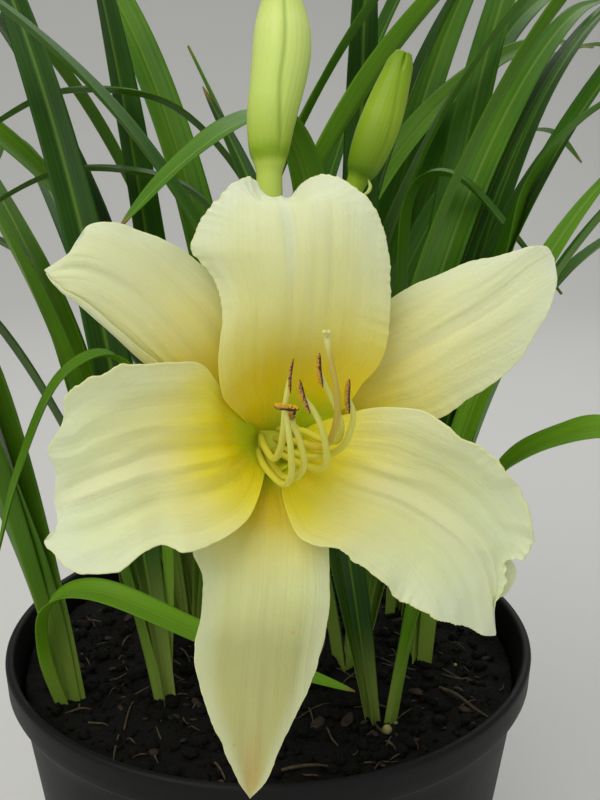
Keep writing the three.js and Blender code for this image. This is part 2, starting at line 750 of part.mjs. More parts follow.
const flower = new THREE.Group();
flower.position.set(...throat);
flower.rotation.x = (90 - faceTipBack) * degrees;
flower.add(asMesh('perianth', perianth(), '#efe9bd', 0.55));
flower.add(asMesh('filaments', filaments(), '#d9da7a', 0.5));
flower.add(asMesh('pistil', pistil(), '#e3d3a0', 0.5));
stamens.forEach((stamen, i) => flower.add(asMesh(`anther_${i + 1}`, anther(stamen), '#5c3a14', 0.8)));
flower.add(asMesh('bud_large', bud(bigBud.points, bigBud.radii), '#c3d672', 0.5));
flower.add(asMesh('bud_small', bud(smallBud.points, smallBud.radii), '#8fa83a', 0.5));
plant.add(flower);

export default plant;
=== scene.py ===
import math
import bpy
import numpy as np
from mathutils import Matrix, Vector


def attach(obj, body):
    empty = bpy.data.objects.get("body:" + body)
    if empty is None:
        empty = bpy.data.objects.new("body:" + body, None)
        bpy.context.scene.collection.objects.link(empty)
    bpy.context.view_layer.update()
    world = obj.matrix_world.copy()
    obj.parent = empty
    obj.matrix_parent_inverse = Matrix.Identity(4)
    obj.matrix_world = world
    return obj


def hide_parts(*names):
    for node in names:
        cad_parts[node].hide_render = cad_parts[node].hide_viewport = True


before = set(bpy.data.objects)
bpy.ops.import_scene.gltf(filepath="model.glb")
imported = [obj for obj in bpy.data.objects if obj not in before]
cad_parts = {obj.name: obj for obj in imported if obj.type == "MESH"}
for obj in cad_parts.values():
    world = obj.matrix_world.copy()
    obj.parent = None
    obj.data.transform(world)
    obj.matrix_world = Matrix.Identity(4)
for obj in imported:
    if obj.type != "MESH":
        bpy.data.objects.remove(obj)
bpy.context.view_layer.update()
mm = 0.001
degree = math.pi / 180
print("frame loaded:", len(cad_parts), "nodes")


def linear(hexColour):
    # sRGB hex to the linear values that the shaders take
    parts = [int(hexColour[i:i + 2], 16) / 255 for i in (1, 3, 5)]
    return [c / 12.92 if c <= 0.04045 else ((c + 0.055) / 1.055) ** 2.4 for c in parts] + [1.0]


def given(value):
    # a colour is written as hex, anything else as it is
    return linear(value) if isinstance(value, str) else value


# the outputs that a node given as a source stands for, where that isn't its first
mainOutputs = {"ShaderNodeMix": 2, "ShaderNodeAttribute": "Fac"}


def linkTo(node, links):
    for key, source in links.items():
        if not isinstance(source, bpy.types.NodeSocket):
            source = source.outputs[mainOutputs.get(source.bl_idname, 0)]
        node.id_data.links.new(source, node.inputs[key])


def addNode(tree, kind, settings=None, links=None):
    node = tree.nodes.new("ShaderNode" + kind)
    for key, value in (settings or {}).items():
        if key == "stops":
            elements = node.color_ramp.elements
            while len(elements) > len(value):
                elements.remove(elements[-1])
            while len(elements) < len(value):
                elements.new(1.0)
            for stop, (place, colour) in zip(elements, value):
                stop.position, stop.color = place, given(colour)
        elif key == "range":
            for end, limit in zip(("From Min", "From Max", "To Min", "To Max"), value):
                node.inputs[end].default_value = limit
        elif isinstance(key, int) or key in node.inputs:
            node.inputs[key].default_value = given(value)
        else:
            setattr(node, key, value)
    linkTo(node, links or {})
    return node


def newMaterial(name, sockets):
    material = bpy.data.materials.new(name)
    material.use_nodes = True
    shader = material.node_tree.nodes["Principled BSDF"]
    for key, value in sockets.items():
        shader.inputs[key].default_value = given(value)
    return material, material.node_tree, shader


def addedUp(tree, offset, *patterns):
    # an offset and the sum of patterns, each by its share
    total = None
    for pattern, share in patterns:
        links = {0: pattern, 2: total} if total else {0: pattern}
        total = addNode(tree, "Math", {"operation": "MULTIPLY_ADD", 1: share, 2: offset}, links)
    return total


def tinted(tree, colour, *layers):
    # lays tints over a colour, each by the product of its amounts; an amount is a node, or
    # a node and the ends that it is eased between
    for tint, *amounts in layers:
        total = None
        for amount in amounts:
            if isinstance(amount, tuple):
                source, *ends = amount
                amount = addNode(tree, "MapRange", {"interpolation_type": "SMOOTHSTEP", "range": ends},
                                 {"Value": source})
            if total:
                amount = addNode(tree, "Math", {"operation": "MULTIPLY"}, {0: total, 1: amount})
            total = amount
        colour = addNode(tree, "Mix", {"data_type": "RGBA", 7: tint}, {0: total, 6: colour})
    return colour


def scaleOf(size):
    # the scale at which a pattern's grain is this many millimetres wide
    return 1000 / size


def mottled(name, sockets, size, stops, relief, shares=(0, 1, 0), attribute="tone", detail=3.0):
    # a material whose colour and relief follow one pattern with grains of a size in mm; the shares are
    # an offset, the pattern's and an attribute's, and the relief is a strength and a depth in mm
    material, tree, shader = newMaterial(name, sockets)
    pattern = addNode(tree, "TexNoise", {"Scale": scaleOf(size), "Detail": detail},
                      {"Vector": addNode(tree, "NewGeometry")})
    read = addNode(tree, "Attribute", {"attribute_name": attribute})
    shade = addedUp(tree, shares[0], (pattern, shares[1]), (read, shares[2]))
    ramp = addNode(tree, "ValToRGB", {"stops": stops}, {"Fac": shade})
    bump = addNode(tree, "Bump", {"Strength": relief[0], "Distance": relief[1] * mm}, {"Height": pattern})
    linkTo(shader, {"Base Color": ramp, "Normal": bump})
    return material


def smoothStep(x):
    t = np.clip(x, 0.0, 1.0)
    return t * t * (3 - 2 * t)


def unit(v):
    return v / np.maximum(np.linalg.norm(v, axis=-1, keepdims=True), 1e-12)


def smoothCurve(points, at):
    # Catmull-Rom through the points, with its ends run on straight
    p = np.asarray(points, float)
    last = len(p) - 1
    run = np.vstack([2 * p[0] - p[1], p, 2 * p[last] - p[last - 1]])
    place = np.clip(np.asarray(at, float), 0, 1) * last
    step = np.minimum(place.astype(int), last - 1)
    f = (place - step)[..., None]
    a, b, c, d = (run[step + i] for i in range(4))
    start, end = 0.5 * (c - a), 0.5 * (d - b)
    return b + start * f + (3 * (c - b) - 2 * start - end) * f ** 2 + (2 * (b - c) + start + end) * f ** 3


def tangentOf(points, at):
    step = 0.0001
    return unit(smoothCurve(points, np.clip(at + step, 0, 1)) - smoothCurve(points, np.clip(at - step, 0, 1)))


def smoothValue(values, at):
    return smoothCurve([[v] for v in values], at)[..., 0]


# Joins pieces of mesh, each (points in mm, faces, values per point), into one object in metres
def meshObject(name, parts, material):
    points, faces, values, start = [], [], {}, 0
    for partPoints, partFaces, partValues in parts:
        points.append(partPoints)
        faces += [tuple(c + start for c in face) for face in partFaces]
        start += len(partPoints)
        for key, value in partValues.items():
            values.setdefault(key, []).append(np.broadcast_to(value, len(partPoints)))
    mesh = bpy.data.meshes.new(name)
    mesh.from_pydata((np.concatenate(points) * mm).tolist(), [], faces)
    for key, value in values.items():
        layer = mesh.attributes.new(key, "FLOAT", "POINT")
        layer.data.foreach_set("value", np.concatenate(value).astype(np.float32))
    mesh.polygons.foreach_set("use_smooth", [True] * len(mesh.polygons))
    mesh.materials.append(material)
    mesh.validate()
    mesh.update()
    made = bpy.data.objects.new(name, mesh)
    bpy.context.scene.collection.objects.link(made)
    return made


def declare(piece, replaced=None):
    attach(piece, "root")
    if replaced:
        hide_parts(replaced)


def makeObject(name, parts, material, replaced=None):
    declare(meshObject(name, parts, material), replaced)


# A closed sheet between two matching grids, rows along and columns across
def sheetPart(front, back, values):
    rows, columns = front.shape[:2]
    points = np.concatenate([front.reshape(-1, 3), back.reshape(-1, 3)])
    grid = np.arange(rows * columns).reshape(rows, columns)
    under = grid + rows * columns
    quads = [np.stack([grid[:-1, :-1], grid[1:, :-1], grid[1:, 1:], grid[:-1, 1:]], -1).reshape(-1, 4),
             np.stack([under[:-1, :-1], under[:-1, 1:], under[1:, 1:], under[1:, :-1]], -1).reshape(-1, 4)]
    for edge, below, turned in ((grid[:, 0], under[:, 0], True), (grid[:, -1], under[:, -1], False),
                                (grid[0], under[0], False), (grid[-1], under[-1], True)):
        wall = np.stack([edge[:-1], edge[1:], below[1:], below[:-1]], -1)
        quads.append(wall[:, ::-1] if turned else wall)
    both = {key: np.tile(np.broadcast_to(v, grid.shape).ravel(), 2) for key, v in values.items()}
    both["under"] = np.repeat([0.0, 1.0], rows * columns)
    return points, np.concatenate(quads).tolist(), both


# A closed body through rings of points, with a centre point at each end
def ringPart(rings, values):
    count, sides = rings.shape[:2]
    points = np.concatenate([rings.reshape(-1, 3), rings[:1].mean(1), rings[-1:].mean(1)])
    grid = np.arange(count * sides).reshape(count, sides)
    after = np.roll(grid, -1, 1)
    faces = np.stack([grid[:-1], after[:-1], after[1:], grid[1:]], -1).reshape(-1, 4).tolist()
    firstCentre = count * sides
    faces += [(firstCentre, after[0, j], grid[0, j]) for j in range(sides)]
    faces += [(firstCentre + 1, grid[-1, j], after[-1, j]) for j in range(sides)]
    spread = {}
    for key, v in values.items():
        v = np.broadcast_to(v, (count, sides))
        spread[key] = np.concatenate([v.ravel(), [v[0].mean(), v[-1].mean()]])
    return points, faces, spread


def onceRound(count):
    return np.linspace(0, 2 * math.pi, count, endpoint=False)


# Rings round a curve: radii along it, and an optional shape round it
def ringsAlong(points, radii, sides, steps, shape=None):
    at = np.linspace(0, 1, steps)
    centre, course = smoothCurve(points, at), tangentOf(points, at)
    sideways = np.array([1.0, 0.0, 0.0])
    first = unit(sideways - course * (course @ sideways)[:, None])
    second = np.cross(course, first)
    turn = onceRound(sides)
    reach = smoothValue(radii, at)[:, None] * np.ones(sides)
    if shape:
        reach = reach * shape(turn[None, :], at[:, None])
    return (centre[:, None] + reach[..., None] * (np.cos(turn)[None, :, None] * first[:, None]
                                                  + np.sin(turn)[None, :, None] * second[:, None]))


# Park and Miller's draws, the same on every run
def drawsFrom(seed):
    state = seed
    while True:
        state = (state * 16807) % 2147483647
        yield state / 2147483647


def levelRing(radius, height, count):
    turn = onceRound(count)
    return np.stack([radius * np.cos(turn), radius * np.sin(turn), np.full(count, float(height))], -1)


# the flower's own frame: the throat, x to the right, y up its face, z out of it
flowerPlace = {"throat": (2.3, -134.5, 312.8), "faceTipBack": 16.9}
tilt = (90 - flowerPlace["faceTipBack"]) * degree
flowerAxes = np.array([[1, 0, 0], [0, math.cos(tilt), math.sin(tilt)], [0, -math.sin(tilt), math.cos(tilt)]])


def fromFlower(points):
    return np.asarray(points, float) @ flowerAxes + flowerPlace["throat"]


def toFlower(points):
    return (np.asarray(points, float) - flowerPlace["throat"]) @ flowerAxes.T


cameraValues = {"place": (13.2, -435.0, 416.0), "pitchDown": 16.9, "lens": 50.0, "nearest": 10}
bpy.context.scene.view_settings.view_transform = "Standard"
camera = bpy.data.objects.new("camera", bpy.data.cameras.new("camera"))
camera.data.lens = cameraValues["lens"]
camera.data.clip_start = cameraValues["nearest"] * mm
camera.location = Vector(cameraValues["place"]) * mm
camera.rotation_euler = ((90 - cameraValues["pitchDown"]) * degree, 0, 0)
bpy.context.scene.collection.objects.link(camera)
bpy.context.scene.camera = camera

floorValues = {"halfWidth": 3000, "front": -2500, "bend": 1500, "curve": 900, "height": 2600,
               "colour": "#d9d8d4"}


def studioPaper():
    # matt rolled paper: one soft pale tone with no shine
    return newMaterial("studioPaperRolledMatt", {
        "Base Color": floorValues["colour"], "Roughness": 0.9, "Specular IOR Level": 0.2})[0]


def makeFloor():
    curve, bend = floorValues["curve"], floorValues["bend"]
    line = [(floorValues["front"], 0.0)]
    line += [(bend + curve * math.sin(a), curve * (1 - math.cos(a))) for a in np.linspace(0, math.pi / 2, 17)]
    line.append((bend + curve, floorValues["height"]))
    points = np.array([(x * floorValues["halfWidth"], y, z) for y, z in line for x in (-1, 1)])
    faces = [(2 * i, 2 * i + 1, 2 * i + 3, 2 * i + 2) for i in range(len(line) - 1)]
    meshObject("floor", [(points, faces, {})], studioPaper())


makeFloor()

skyValues = {"colour": "#eef1f4", "strength": 0.4}
lightAim = (0, -0.05, 0.3)
lightValues = {
    # places and sizes in metres, power in watts
    "key": {"place": (-0.7, -1.0, 1.9), "size": 1.6, "power": 21, "colour": "#fffcf6"},
    "front": {"place": (-0.1, -1.9, 1.0), "size": 1.8, "power": 5, "colour": "#fbfcff"},
    "fill": {"place": (1.3, -1.1, 1.0), "size": 1.5, "power": 2.2, "colour": "#f6f9ff"},
    "back": {"place": (0.3, 1.1, 1.6), "size": 1.2, "power": 9, "colour": "#ffffff"},
}
for lightName, values in lightValues.items():
    lamp = bpy.data.lights.new(lightName, "AREA")
    lamp.size, lamp.energy, lamp.color = values["size"], values["power"], linear(values["colour"])[:3]
    lampObject = bpy.data.objects.new(lightName, lamp)
    lampObject.location = values["place"]
    aim = Vector(lightAim) - Vector(values["place"])
    lampObject.rotation_euler = aim.to_track_quat("-Z", "Y").to_euler()
    bpy.context.scene.collection.objects.link(lampObject)

world = bpy.data.worlds.new("studio")
bpy.context.scene.world = world
world.use_nodes = True
sky = world.node_tree.nodes["Background"]
sky.inputs["Color"].default_value = linear(skyValues["colour"])
sky.inputs["Strength"].default_value = skyValues["strength"]
print("camera, floor and light made")

potValues = {
    "height": 180, "rimRadius": 112, "footRadius": 85, "wall": 1.8, "floorTop": 6, "rimBand": 14,
    "rimOverhang": 5, "footRing": 9, "footHeight": 3, "centreDisc": 30, "drainHoles": 6,
    "drainRadius": 6, "nestStep": (38, 40, 41.5, 43.5), "stepOut": 0.8, "lip": 1.9, "segments": 180,
    "sharpAngle": 35, "colour": "#060707", "dust": "#16120e",
    "grain": 1.1, "smear": 38,
}


def mouldedPolypropylene():
    # black injection-moulded polypropylene: a dull sheen, fine grain and dried splashes of compost
    v = potValues
    material, tree, shader = newMaterial("polypropyleneInjectionMoulded", {
        "IOR": 1.49, "Specular IOR Level": 0.25})
    place = addNode(tree, "NewGeometry")
    grain = addNode(tree, "TexNoise", {"Scale": scaleOf(v["grain"]), "Detail": 2.0}, {"Vector": place})
    smears = addNode(tree, "TexNoise", {"Scale": scaleOf(v["smear"]), "Detail": 6.0, "Roughness": 0.7},
                     {"Vector": place})
    amount = addNode(tree, "MapRange", {"range": (0.52, 0.75, 0, 0.5)}, {"Value": smears})
    colour = addNode(tree, "Mix", {"data_type": "RGBA", 6: v["colour"], 7: v["dust"]}, {0: amount})
    rough = addNode(tree, "MapRange", {"range": (0, 1, 0.42, 0.66)}, {"Value": smears})
    bump = addNode(tree, "Bump", {"Strength": 0.25, "Distance": 0.0002}, {"Height": grain})
    linkTo(shader, {"Base Color": colour, "Roughness": rough, "Normal": bump})
    return material


def potWallRadius(height):
    v = potValues
    slope = (v["rimRadius"] - v["rimOverhang"] - v["footRadius"]) / (v["height"] - v["rimBand"])
    return v["footRadius"] + slope * height


def potProfile():
    v = potValues
    top, band, rim = v["height"], v["height"] - v["rimBand"], v["rimRadius"]
    inner = potWallRadius(top) - v["wall"]
    foot, step, ring = v["footRadius"], v["footHeight"], v["footRadius"] - v["footRing"]
    line = [(v["centreDisc"], 0), (v["centreDisc"] + step, step), (ring - step, step), (ring, 0)]
    line += [(foot - 1, 0), (foot - 0.3, 0.3), (foot, 1)]
    for height in v["nestStep"]:  # a shallow step where pots nest
        out = v["stepOut"] if height in v["nestStep"][1:3] else 0
        line.append((potWallRadius(height) + out, height))
    line += [(potWallRadius(band - 9), band - 9), (potWallRadius(band - 1), band - 1)]
    line += [(potWallRadius(band) + 0.4, band - 0.2), (rim - 1.6, band + 0.4), (rim - 1, band + 1)]
    line += [(rim - 0.5, band + 2.2), (rim - 0.35, band + 6), (rim - 0.2, top - 5)]
    lip = v["lip"]
    for i in range(9):  # the rolled lip
        a = (i / 8) * math.pi
        line.append((rim - lip + lip * math.cos(a), top - lip + lip * math.sin(a)))
    line += [(inner + 0.9, top - 2.6), (inner + 0.2, top - 5), (inner - 0.3, top - 12)]
    line.append((potWallRadius(v["floorTop"]) - v["wall"], v["floorTop"]))
    return line


def makePot():
    v = potValues
    rings = np.array([levelRing(radius, height, v["segments"]) for radius, height in potProfile()])
    skin = mouldedPolypropylene()
    pot = meshObject("nurseryPot", [ringPart(rings, {})], skin)
    circle = (v["centreDisc"] + v["footRadius"] - v["footRing"]) / 2 * mm
    for i in range(v["drainHoles"]):
        a = i / v["drainHoles"] * 2 * math.pi
        bpy.ops.mesh.primitive_cylinder_add(vertices=40, radius=v["drainRadius"] * mm, depth=0.02,
                                            location=(circle * math.cos(a), circle * math.sin(a), 0.004))
        drill = bpy.context.object
        cut = pot.modifiers.new("drain", "BOOLEAN")
        cut.operation, cut.solver, cut.object = "DIFFERENCE", "EXACT", drill
        bpy.context.view_layer.objects.active = pot
        bpy.ops.object.modifier_apply(modifier=cut.name)
        bpy.data.objects.remove(drill)
    pot.data.polygons.foreach_set("use_smooth", [True] * len(pot.data.polygons))
    pot.data.set_sharp_from_angle(angle=v["sharpAngle"] * degree)
    pot.data.materials.clear()
    pot.data.materials.append(skin)
    declare(pot, "pot")


makePot()
print("pot made")

leafValues = {
    "thickness": 0.7, "rootDepth": 14, "clearance": 13, "samples": 44, "draws": 120, "seed": 811,
    "links": 8, "headingSpread": 80, "headingDrift": 60, "rollSpread": 110, "rootGap": 1.5, "droop": 1.9,
    "steps": 56, "across": 13, "veinSpacing": 0.9, "rootWidth": 0.56, "rootFold": 58, "openFold": 18,
    "deep": "#173204", "mid": "#386708", "bright": "#6a981a", "keel": "#72952a", "root": "#9db052",
    "dry": "#8a6b35", "patch": 45, "taper": 3.2, "tipShare": 0.05, "waveDepth": 0.05, "waves": 23,
    "edgeShare": 0.25, "keelShare": 0.5, "keelWidth": 0.13,
}
soilLevel = 168
rootHeight = soilLevel - leafValues["rootDepth"]

# how the two habits lean and grow: innermost leaf, step per rank, drawn share
habits = {
    "arching": {"startTilt": (2, 3.5, 5), "endTilt": (38, 24, 55), "length": (400, -25, 90)},
    "upright": {"startTilt": (2, 3.5, 5), "endTilt": (12, 10, 25), "length": (250, 0, 90)},
}

# each fan's place, heading and drawn leaves, and its chosen leaves: width, course and, for
# the two that turn their bright upper face to the front, the roll
fans = [
    {"x": 46, "y": -50, "azimuth": 165, "leaves": 5, "width": 13, "habit": "upright", "chosen": []},
    {"x": 34, "y": -12, "azimuth": 15, "leaves": 5, "width": 17, "chosen": [
        (17, [[39, -11], [39, 2, 241], [38, 16, 311], [38, 28, 379], [39, 34, 439], [41, 36, 500]])]},
    {"x": 63, "y": -8, "azimuth": 25, "leaves": 4, "width": 16, "chosen": [
        (15, [[67, -7], [71, -5, 251], [84, -5, 310], [95, -5, 346], [102, -8, 376],
              [123, -15, 401], [153, -25, 413]]),
        (18, [[68, -8], [72, -14, 209], [82, -22, 244], [95, -28, 266], [112, -37, 280],
              [128, -46, 286.5], [152, -60, 283]], 40)]},
    {"x": -38, "y": -39, "azimuth": 172, "leaves": 6, "width": 15, "chosen": [
        (10, [[-42, -38], [-40, -35, 229], [-42, -35, 279], [-54, -40, 312], [-73, -50, 307],
              [-87, -62, 277], [-95, -72, 248]])]},
    {"x": -76, "y": -36, "azimuth": 205, "leaves": 5, "width": 15, "chosen": [
        (12.5, [[-79, -38], [-85, -47, 194], [-81, -56, 220], [-61, -63, 228.5], [-24, -67, 214],
              [6, -67, 200.5], [34, -66, 189]], 36)]},
    {"x": -34, "y": 22, "azimuth": 150, "leaves": 6, "width": 17, "chosen": [
        (12, [[-30, 20], [-19, 20, 278], [-16, 24, 337], [-34, 30, 366], [-77, 30, 374],
              [-110, 25, 362], [-134, 15, 340]])]},
    {"x": 12, "y": 28, "azimuth": 20, "leaves": 6, "width": 17, "chosen": [
        (13, [[7, 28], [7, 38, 276], [-2, 44, 349], [-36, 42, 396], [-78, 36, 405],
              [-107, 26, 394], [-133, 12, 372]]),
        (15, [[16, 26], [20, 6, 280], [17, -16, 364], [6, -33, 396], [-8, -52, 396],
              [-26, -74, 384], [-42, -92, 368]])]},
    {"x": 58, "y": 38, "azimuth": 40, "leaves": 7, "width": 18, "chosen": [
        (13, [[56, 36], [60, 28, 275], [57, 21, 340], [61, 18, 369], [76, 15, 372],
              [96, 14, 353], [120, 10, 326]])]},
    {"x": -12, "y": 74, "azimuth": 160, "leaves": 7, "width": 18, "chosen": []},
    {"x": -66, "y": 42, "azimuth": 130, "leaves": 6, "width": 17, "chosen": []},
    {"x": 32, "y": 80, "azimuth": 20, "leaves": 6, "width": 18, "chosen": []},
]
scapePath = [[6, -30, rootHeight], [6, -34, 200], [5, -55, 252], [3.5, -73, 288], [6, -76, 318],
             [8.3, -71.7, 340.7]]

# room left round the flower and the buds, over the rim and above the floor
flowerRoom = {"middle": 12, "side": 112, "behind": -78}
budRoom = {"middle": 12, "side": 60, "behind": -95, "above": 20}
rimRoom = {"inner": 96, "outer": 124, "height": 14}
floorRoom = 30


def drawnCourse(fan, rank, side, draw):
    habit = habits[fan.get("habit", "arching")]
    spread = (next(draw) - 0.5) * leafValues["headingSpread"]
    drift = (next(draw) - 0.5) * leafValues["headingDrift"]
    startTilt, endTilt, length = (first + perRank * rank + share * next(draw)
                                  for first, perRank, share in habit.values())
    link = length / leafValues["links"]
    heading = fan["azimuth"] + (0 if side > 0 else 180)
    offset = leafValues["rootGap"] * (1 + rank)
    points = [[fan["x"] + offset * math.cos(heading * degree),
               fan["y"] + offset * math.sin(heading * degree), rootHeight]]
    for i in range(leafValues["links"]):
        along = (i + 0.5) / leafValues["links"]
        lean = (startTilt + (endTilt - startTilt) * along ** leafValues["droop"]) * degree
        turn = (heading + spread * float(smoothStep(along * 3)) + drift * along) * degree
        x, y, z = points[-1]
        points.append([x + link * math.sin(lean) * math.cos(turn),
                       y + link * math.sin(lean) * math.sin(turn), z + link * math.cos(lean)])
    return points


def samplesOf(points):
    count = leafValues["samples"]
    return smoothCurve(points, 0.08 + 0.92 * np.arange(count) / (count - 1))


def standsFree(samples):
    x, y, z = toFlower(samples).T
    inFront = (z > flowerRoom["behind"]) & (abs(x - flowerRoom["middle"]) < flowerRoom["side"])
    atBuds = ((z > budRoom["behind"]) & (y > budRoom["above"])
              & (abs(x - budRoom["middle"]) < budRoom["side"]))
    radius = np.hypot(samples[:, 0], samples[:, 1])
    lowest = np.where(radius < rimRoom["inner"], rootHeight,
                      np.where(radius < rimRoom["outer"], potValues["height"] + rimRoom["height"],
                               floorRoom))
    return not (inFront | atBuds | (samples[:, 2] <= lowest)).any()


def keepsClear(samples, others):
    gaps = ((samples[:, None] - np.concatenate(others)[None]) ** 2).sum(-1)
    return gaps.min() > leafValues["clearance"] ** 2


# The same rule and draws as the solids, so each fine leaf lies along its solid one
def growCourses():
    draw = drawsFrom(leafValues["seed"])
    grown = [[{"width": width, "roll": roll[0] if roll else 0.0, "lit": float(bool(roll)),
               "points": [[*course[0], rootHeight]] + course[1:]}
              for width, course, *roll in fan["chosen"]] for fan in fans]
    taken = [[samplesOf(leaf["points"]) for leaf in leaves] for leaves in grown]
    scapeSamples = samplesOf(scapePath)
    for own, fan in enumerate(fans):
        for i in range(fan["leaves"]):
            side, rank = (1 if i % 2 == 0 else -1), i // 2
            for attempt in range(leafValues["draws"]):
                points = drawnCourse(fan, rank, side, draw)
                roll = (next(draw) - 0.5) * leafValues["rollSpread"]
                samples = samplesOf(points)
                others = [s for k, leaves in enumerate(taken) if k != own for s in leaves]
                if standsFree(samples) and keepsClear(samples, others + [scapeSamples]):
                    grown[own].append({"width": fan["width"] * (1.05 - 0.06 * rank), "roll": roll,
                                       "lit": 0.0, "points": points})
                    taken[own].append(samples)
                    break
    return grown


def leafPart(leaf, tone, steps, across):
    values, points = leafValues, leaf["points"]
    along = np.linspace(0, 1, steps)
    centre, course = smoothCurve(points, along), tangentOf(points, along)
    reach = unit(np.array([points[-1][0] - points[0][0], points[-1][1] - points[0][1], 0.0]))
    level = np.array([-reach[1], reach[0], 0.0])
    sideways = unit(level - course * (course @ level)[:, None])
    turn = leaf["roll"] * degree * smoothStep((along - 0.1) / 0.9)
    third = np.cross(course, sideways)
    sideways = sideways * np.cos(turn)[:, None] + third * np.sin(turn)[:, None]
    face = unit(np.cross(course, sideways))
    growth = values["rootWidth"] + (1 - values["rootWidth"]) * smoothStep(along / 0.35)
    half = leaf["width"] / 2 * (growth * (1 - along ** values["taper"]) ** 0.8 + values["tipShare"])
    fold = (values["rootFold"] + (values["openFold"] - values["rootFold"]) * smoothStep(along / 0.3)) * degree
    v = np.linspace(-1, 1, across)
    # a rounded channel over a keel, with a slow wave along each margin
    channel = np.sqrt(v ** 2 + 0.01) - 0.1
    wave = values["waveDepth"] * np.sin(along * values["waves"] + tone * 40)[:, None]
    wave = wave * np.abs(v) ** 3 * np.sign(v)
    lift = half[:, None] * (np.sin(fold)[:, None] * channel[None] + wave)
    spread = half[:, None] * np.cos(fold)[:, None] * v[None]
    front = centre[:, None] + sideways[:, None] * spread[..., None] + face[:, None] * lift[..., None]
    keel = (values["edgeShare"] + 0.55 * (1 - np.abs(v) ** 1.5)
            + values["keelShare"] * np.exp(-(v / values["keelWidth"]) ** 2))
    depth = values["thickness"] * keel[None] / np.cos(fold)[:, None] ** 0.5
    back = front - face[:, None] * depth[..., None]
    return sheetPart(front, back, {"along": along[:, None], "across": v[None], "halfWidth": half[:, None],
                                   "tone": tone})


def leafBlade():
    # a smooth waxy strap leaf: parallel veins, a pale keel and a satin shine
    v = leafValues
    material, tree, shader = newMaterial("leafBladeGrownWaxy", {
        "Roughness": 0.48, "IOR": 1.42, "Specular IOR Level": 0.25, "Subsurface Weight": 0.12,
        "Subsurface Radius": (0.6, 1.0, 0.2), "Subsurface Scale": 0.0012})
    read = {name: addNode(tree, "Attribute", {"attribute_name": name})
            for name in ("along", "across", "halfWidth", "tone", "under")}
    # the veins are placed by millimetres from the keel
    sideways = addNode(tree, "Math", {"operation": "MULTIPLY"}, {0: read["across"], 1: read["halfWidth"]})
    veinPlace = addNode(tree, "CombineXYZ", None, {"X": sideways, "Y": read["along"], "Z": read["tone"]})
    veins = addNode(tree, "TexNoise", {"Scale": 1 / v["veinSpacing"], "Detail": 2.0, "Roughness": 0.6},
                    {"Vector": veinPlace})
    patches = addNode(tree, "TexNoise", {"Scale": scaleOf(v["patch"]), "Detail": 3.0},
                      {"Vector": addNode(tree, "NewGeometry")})
    shade = addedUp(tree, -0.53, (read["tone"], 1), (patches, 0.5), (veins, 0.55))
    base = addNode(tree, "ValToRGB", {"stops": [(0.0, v["deep"]), (0.5, v["mid"]), (1.0, v["bright"])]},
                   {"Fac": shade})
    nearKeel = addNode(tree, "Math", {"operation": "ABSOLUTE"}, {0: read["across"]})
    below = addNode(tree, "Math", {"operation": "MULTIPLY", 1: 0.3}, {0: read["under"]})
    colour = tinted(tree, base, (v["keel"], (nearKeel, 0, 0.16, 0.5, 0)),
                    (v["root"], (read["along"], 0.05, 0.2, 0.75, 0)),
                    (v["dry"], (read["along"], 0.965, 1, 0, 0.9)), (v["bright"], below))
    bump = addNode(tree, "Bump", {"Strength": 0.5, "Distance": 0.00025}, {"Height": veins})
    linkTo(shader, {"Base Color": colour, "Normal": bump})
    return material


leafMaterial = leafBlade()
leafTone = drawsFrom(2113)
for number, leaves in enumerate(growCourses(), 1):
    parts = [leafPart(leaf, max(0.15 + 0.7 * next(leafTone), leaf["lit"]), leafValues["steps"],
                      leafValues["across"]) for leaf in leaves]
    makeObject(f"leafFan{number}", parts, leafMaterial, f"fan_{number}")
    print("leaf fan", number, "made with", len(leaves), "leaves")

compostValues = {
    "rings": 110, "turns": 300, "crumbs": 1500, "bark": 90, "fibres": 150, "beads": 16,
    "peat": "#0c0a06", "damp": "#040302", "lump": "#17110a", "barkDark": "#150d07",
    "barkLight": "#3a2a1a", "straw": "#584c30", "strawDark": "#33281a", "bead": "#a8a46a",
    "beadDark": "#7f7a45", "crumb": 7.7, "grit": 1.4, "gap": 0.4, "edgeDrop": 3, "spread": 100,
    "crumbSizes": (0.7, 3.6), "barkSizes": (1.2, 4.2), "beadSizes": (1.0, 1.4), "barkShape": (1.5, 0.8, 0.35),
    "barkGrain": 4, "beadGrain": 2, "strawGrain": 1.5, "edgeSink": 2.5, "fibreSpread": 92,
    "fibreLength": (4, 18), "fibreHalf": 0.25, "fibreBow": 1.5, "fibreBend": 5,
}
# the soil's relief: cell and depth in mm, and a seed
soilRelief = ((9, 1.8, 3), (4.2, 1.6, 5), (2.1, 1.1, 7), (1.3, 0.6, 9))
latticeCells = 96
dice = np.random.default_rng(41)


# Smooth noise on a square lattice with cells of that many millimetres
def latticeNoise(x, y, cell, seed):
    corners = latticeCells + 1
    lattice = np.random.default_rng(seed).random((corners, corners)) - 0.5
    u, v = x / cell + corners / 2, y / cell + corners / 2
    i, j = np.floor(u).astype(int) % latticeCells, np.floor(v).astype(int) % latticeCells
    s, t = smoothStep(u - np.floor(u)), smoothStep(v - np.floor(v))
    low = lattice[i, j] * (1 - s) + lattice[i + 1, j] * s
    high = lattice[i, j + 1] * (1 - s) + lattice[i + 1, j + 1] * s
    return low * (1 - t) + high * t


def soilHeight(x, y):
    crumbs = np.sin(x / 6.1 + 0.7) * np.cos(y / 5.3 - 0.4) + 0.7 * np.sin((x + y) / 4.3)
    swell = 1.6 * np.sin(x / 23 + 0.4) * np.cos(y / 19)
    sink = compostValues["edgeSink"] * (np.hypot(x, y) / potValues["rimRadius"]) ** 4
    settled = soilLevel + crumbs + swell - sink
    for cell, depth, seed in soilRelief:
        settled = settled + depth * latticeNoise(x, y, cell, seed)
    return settled


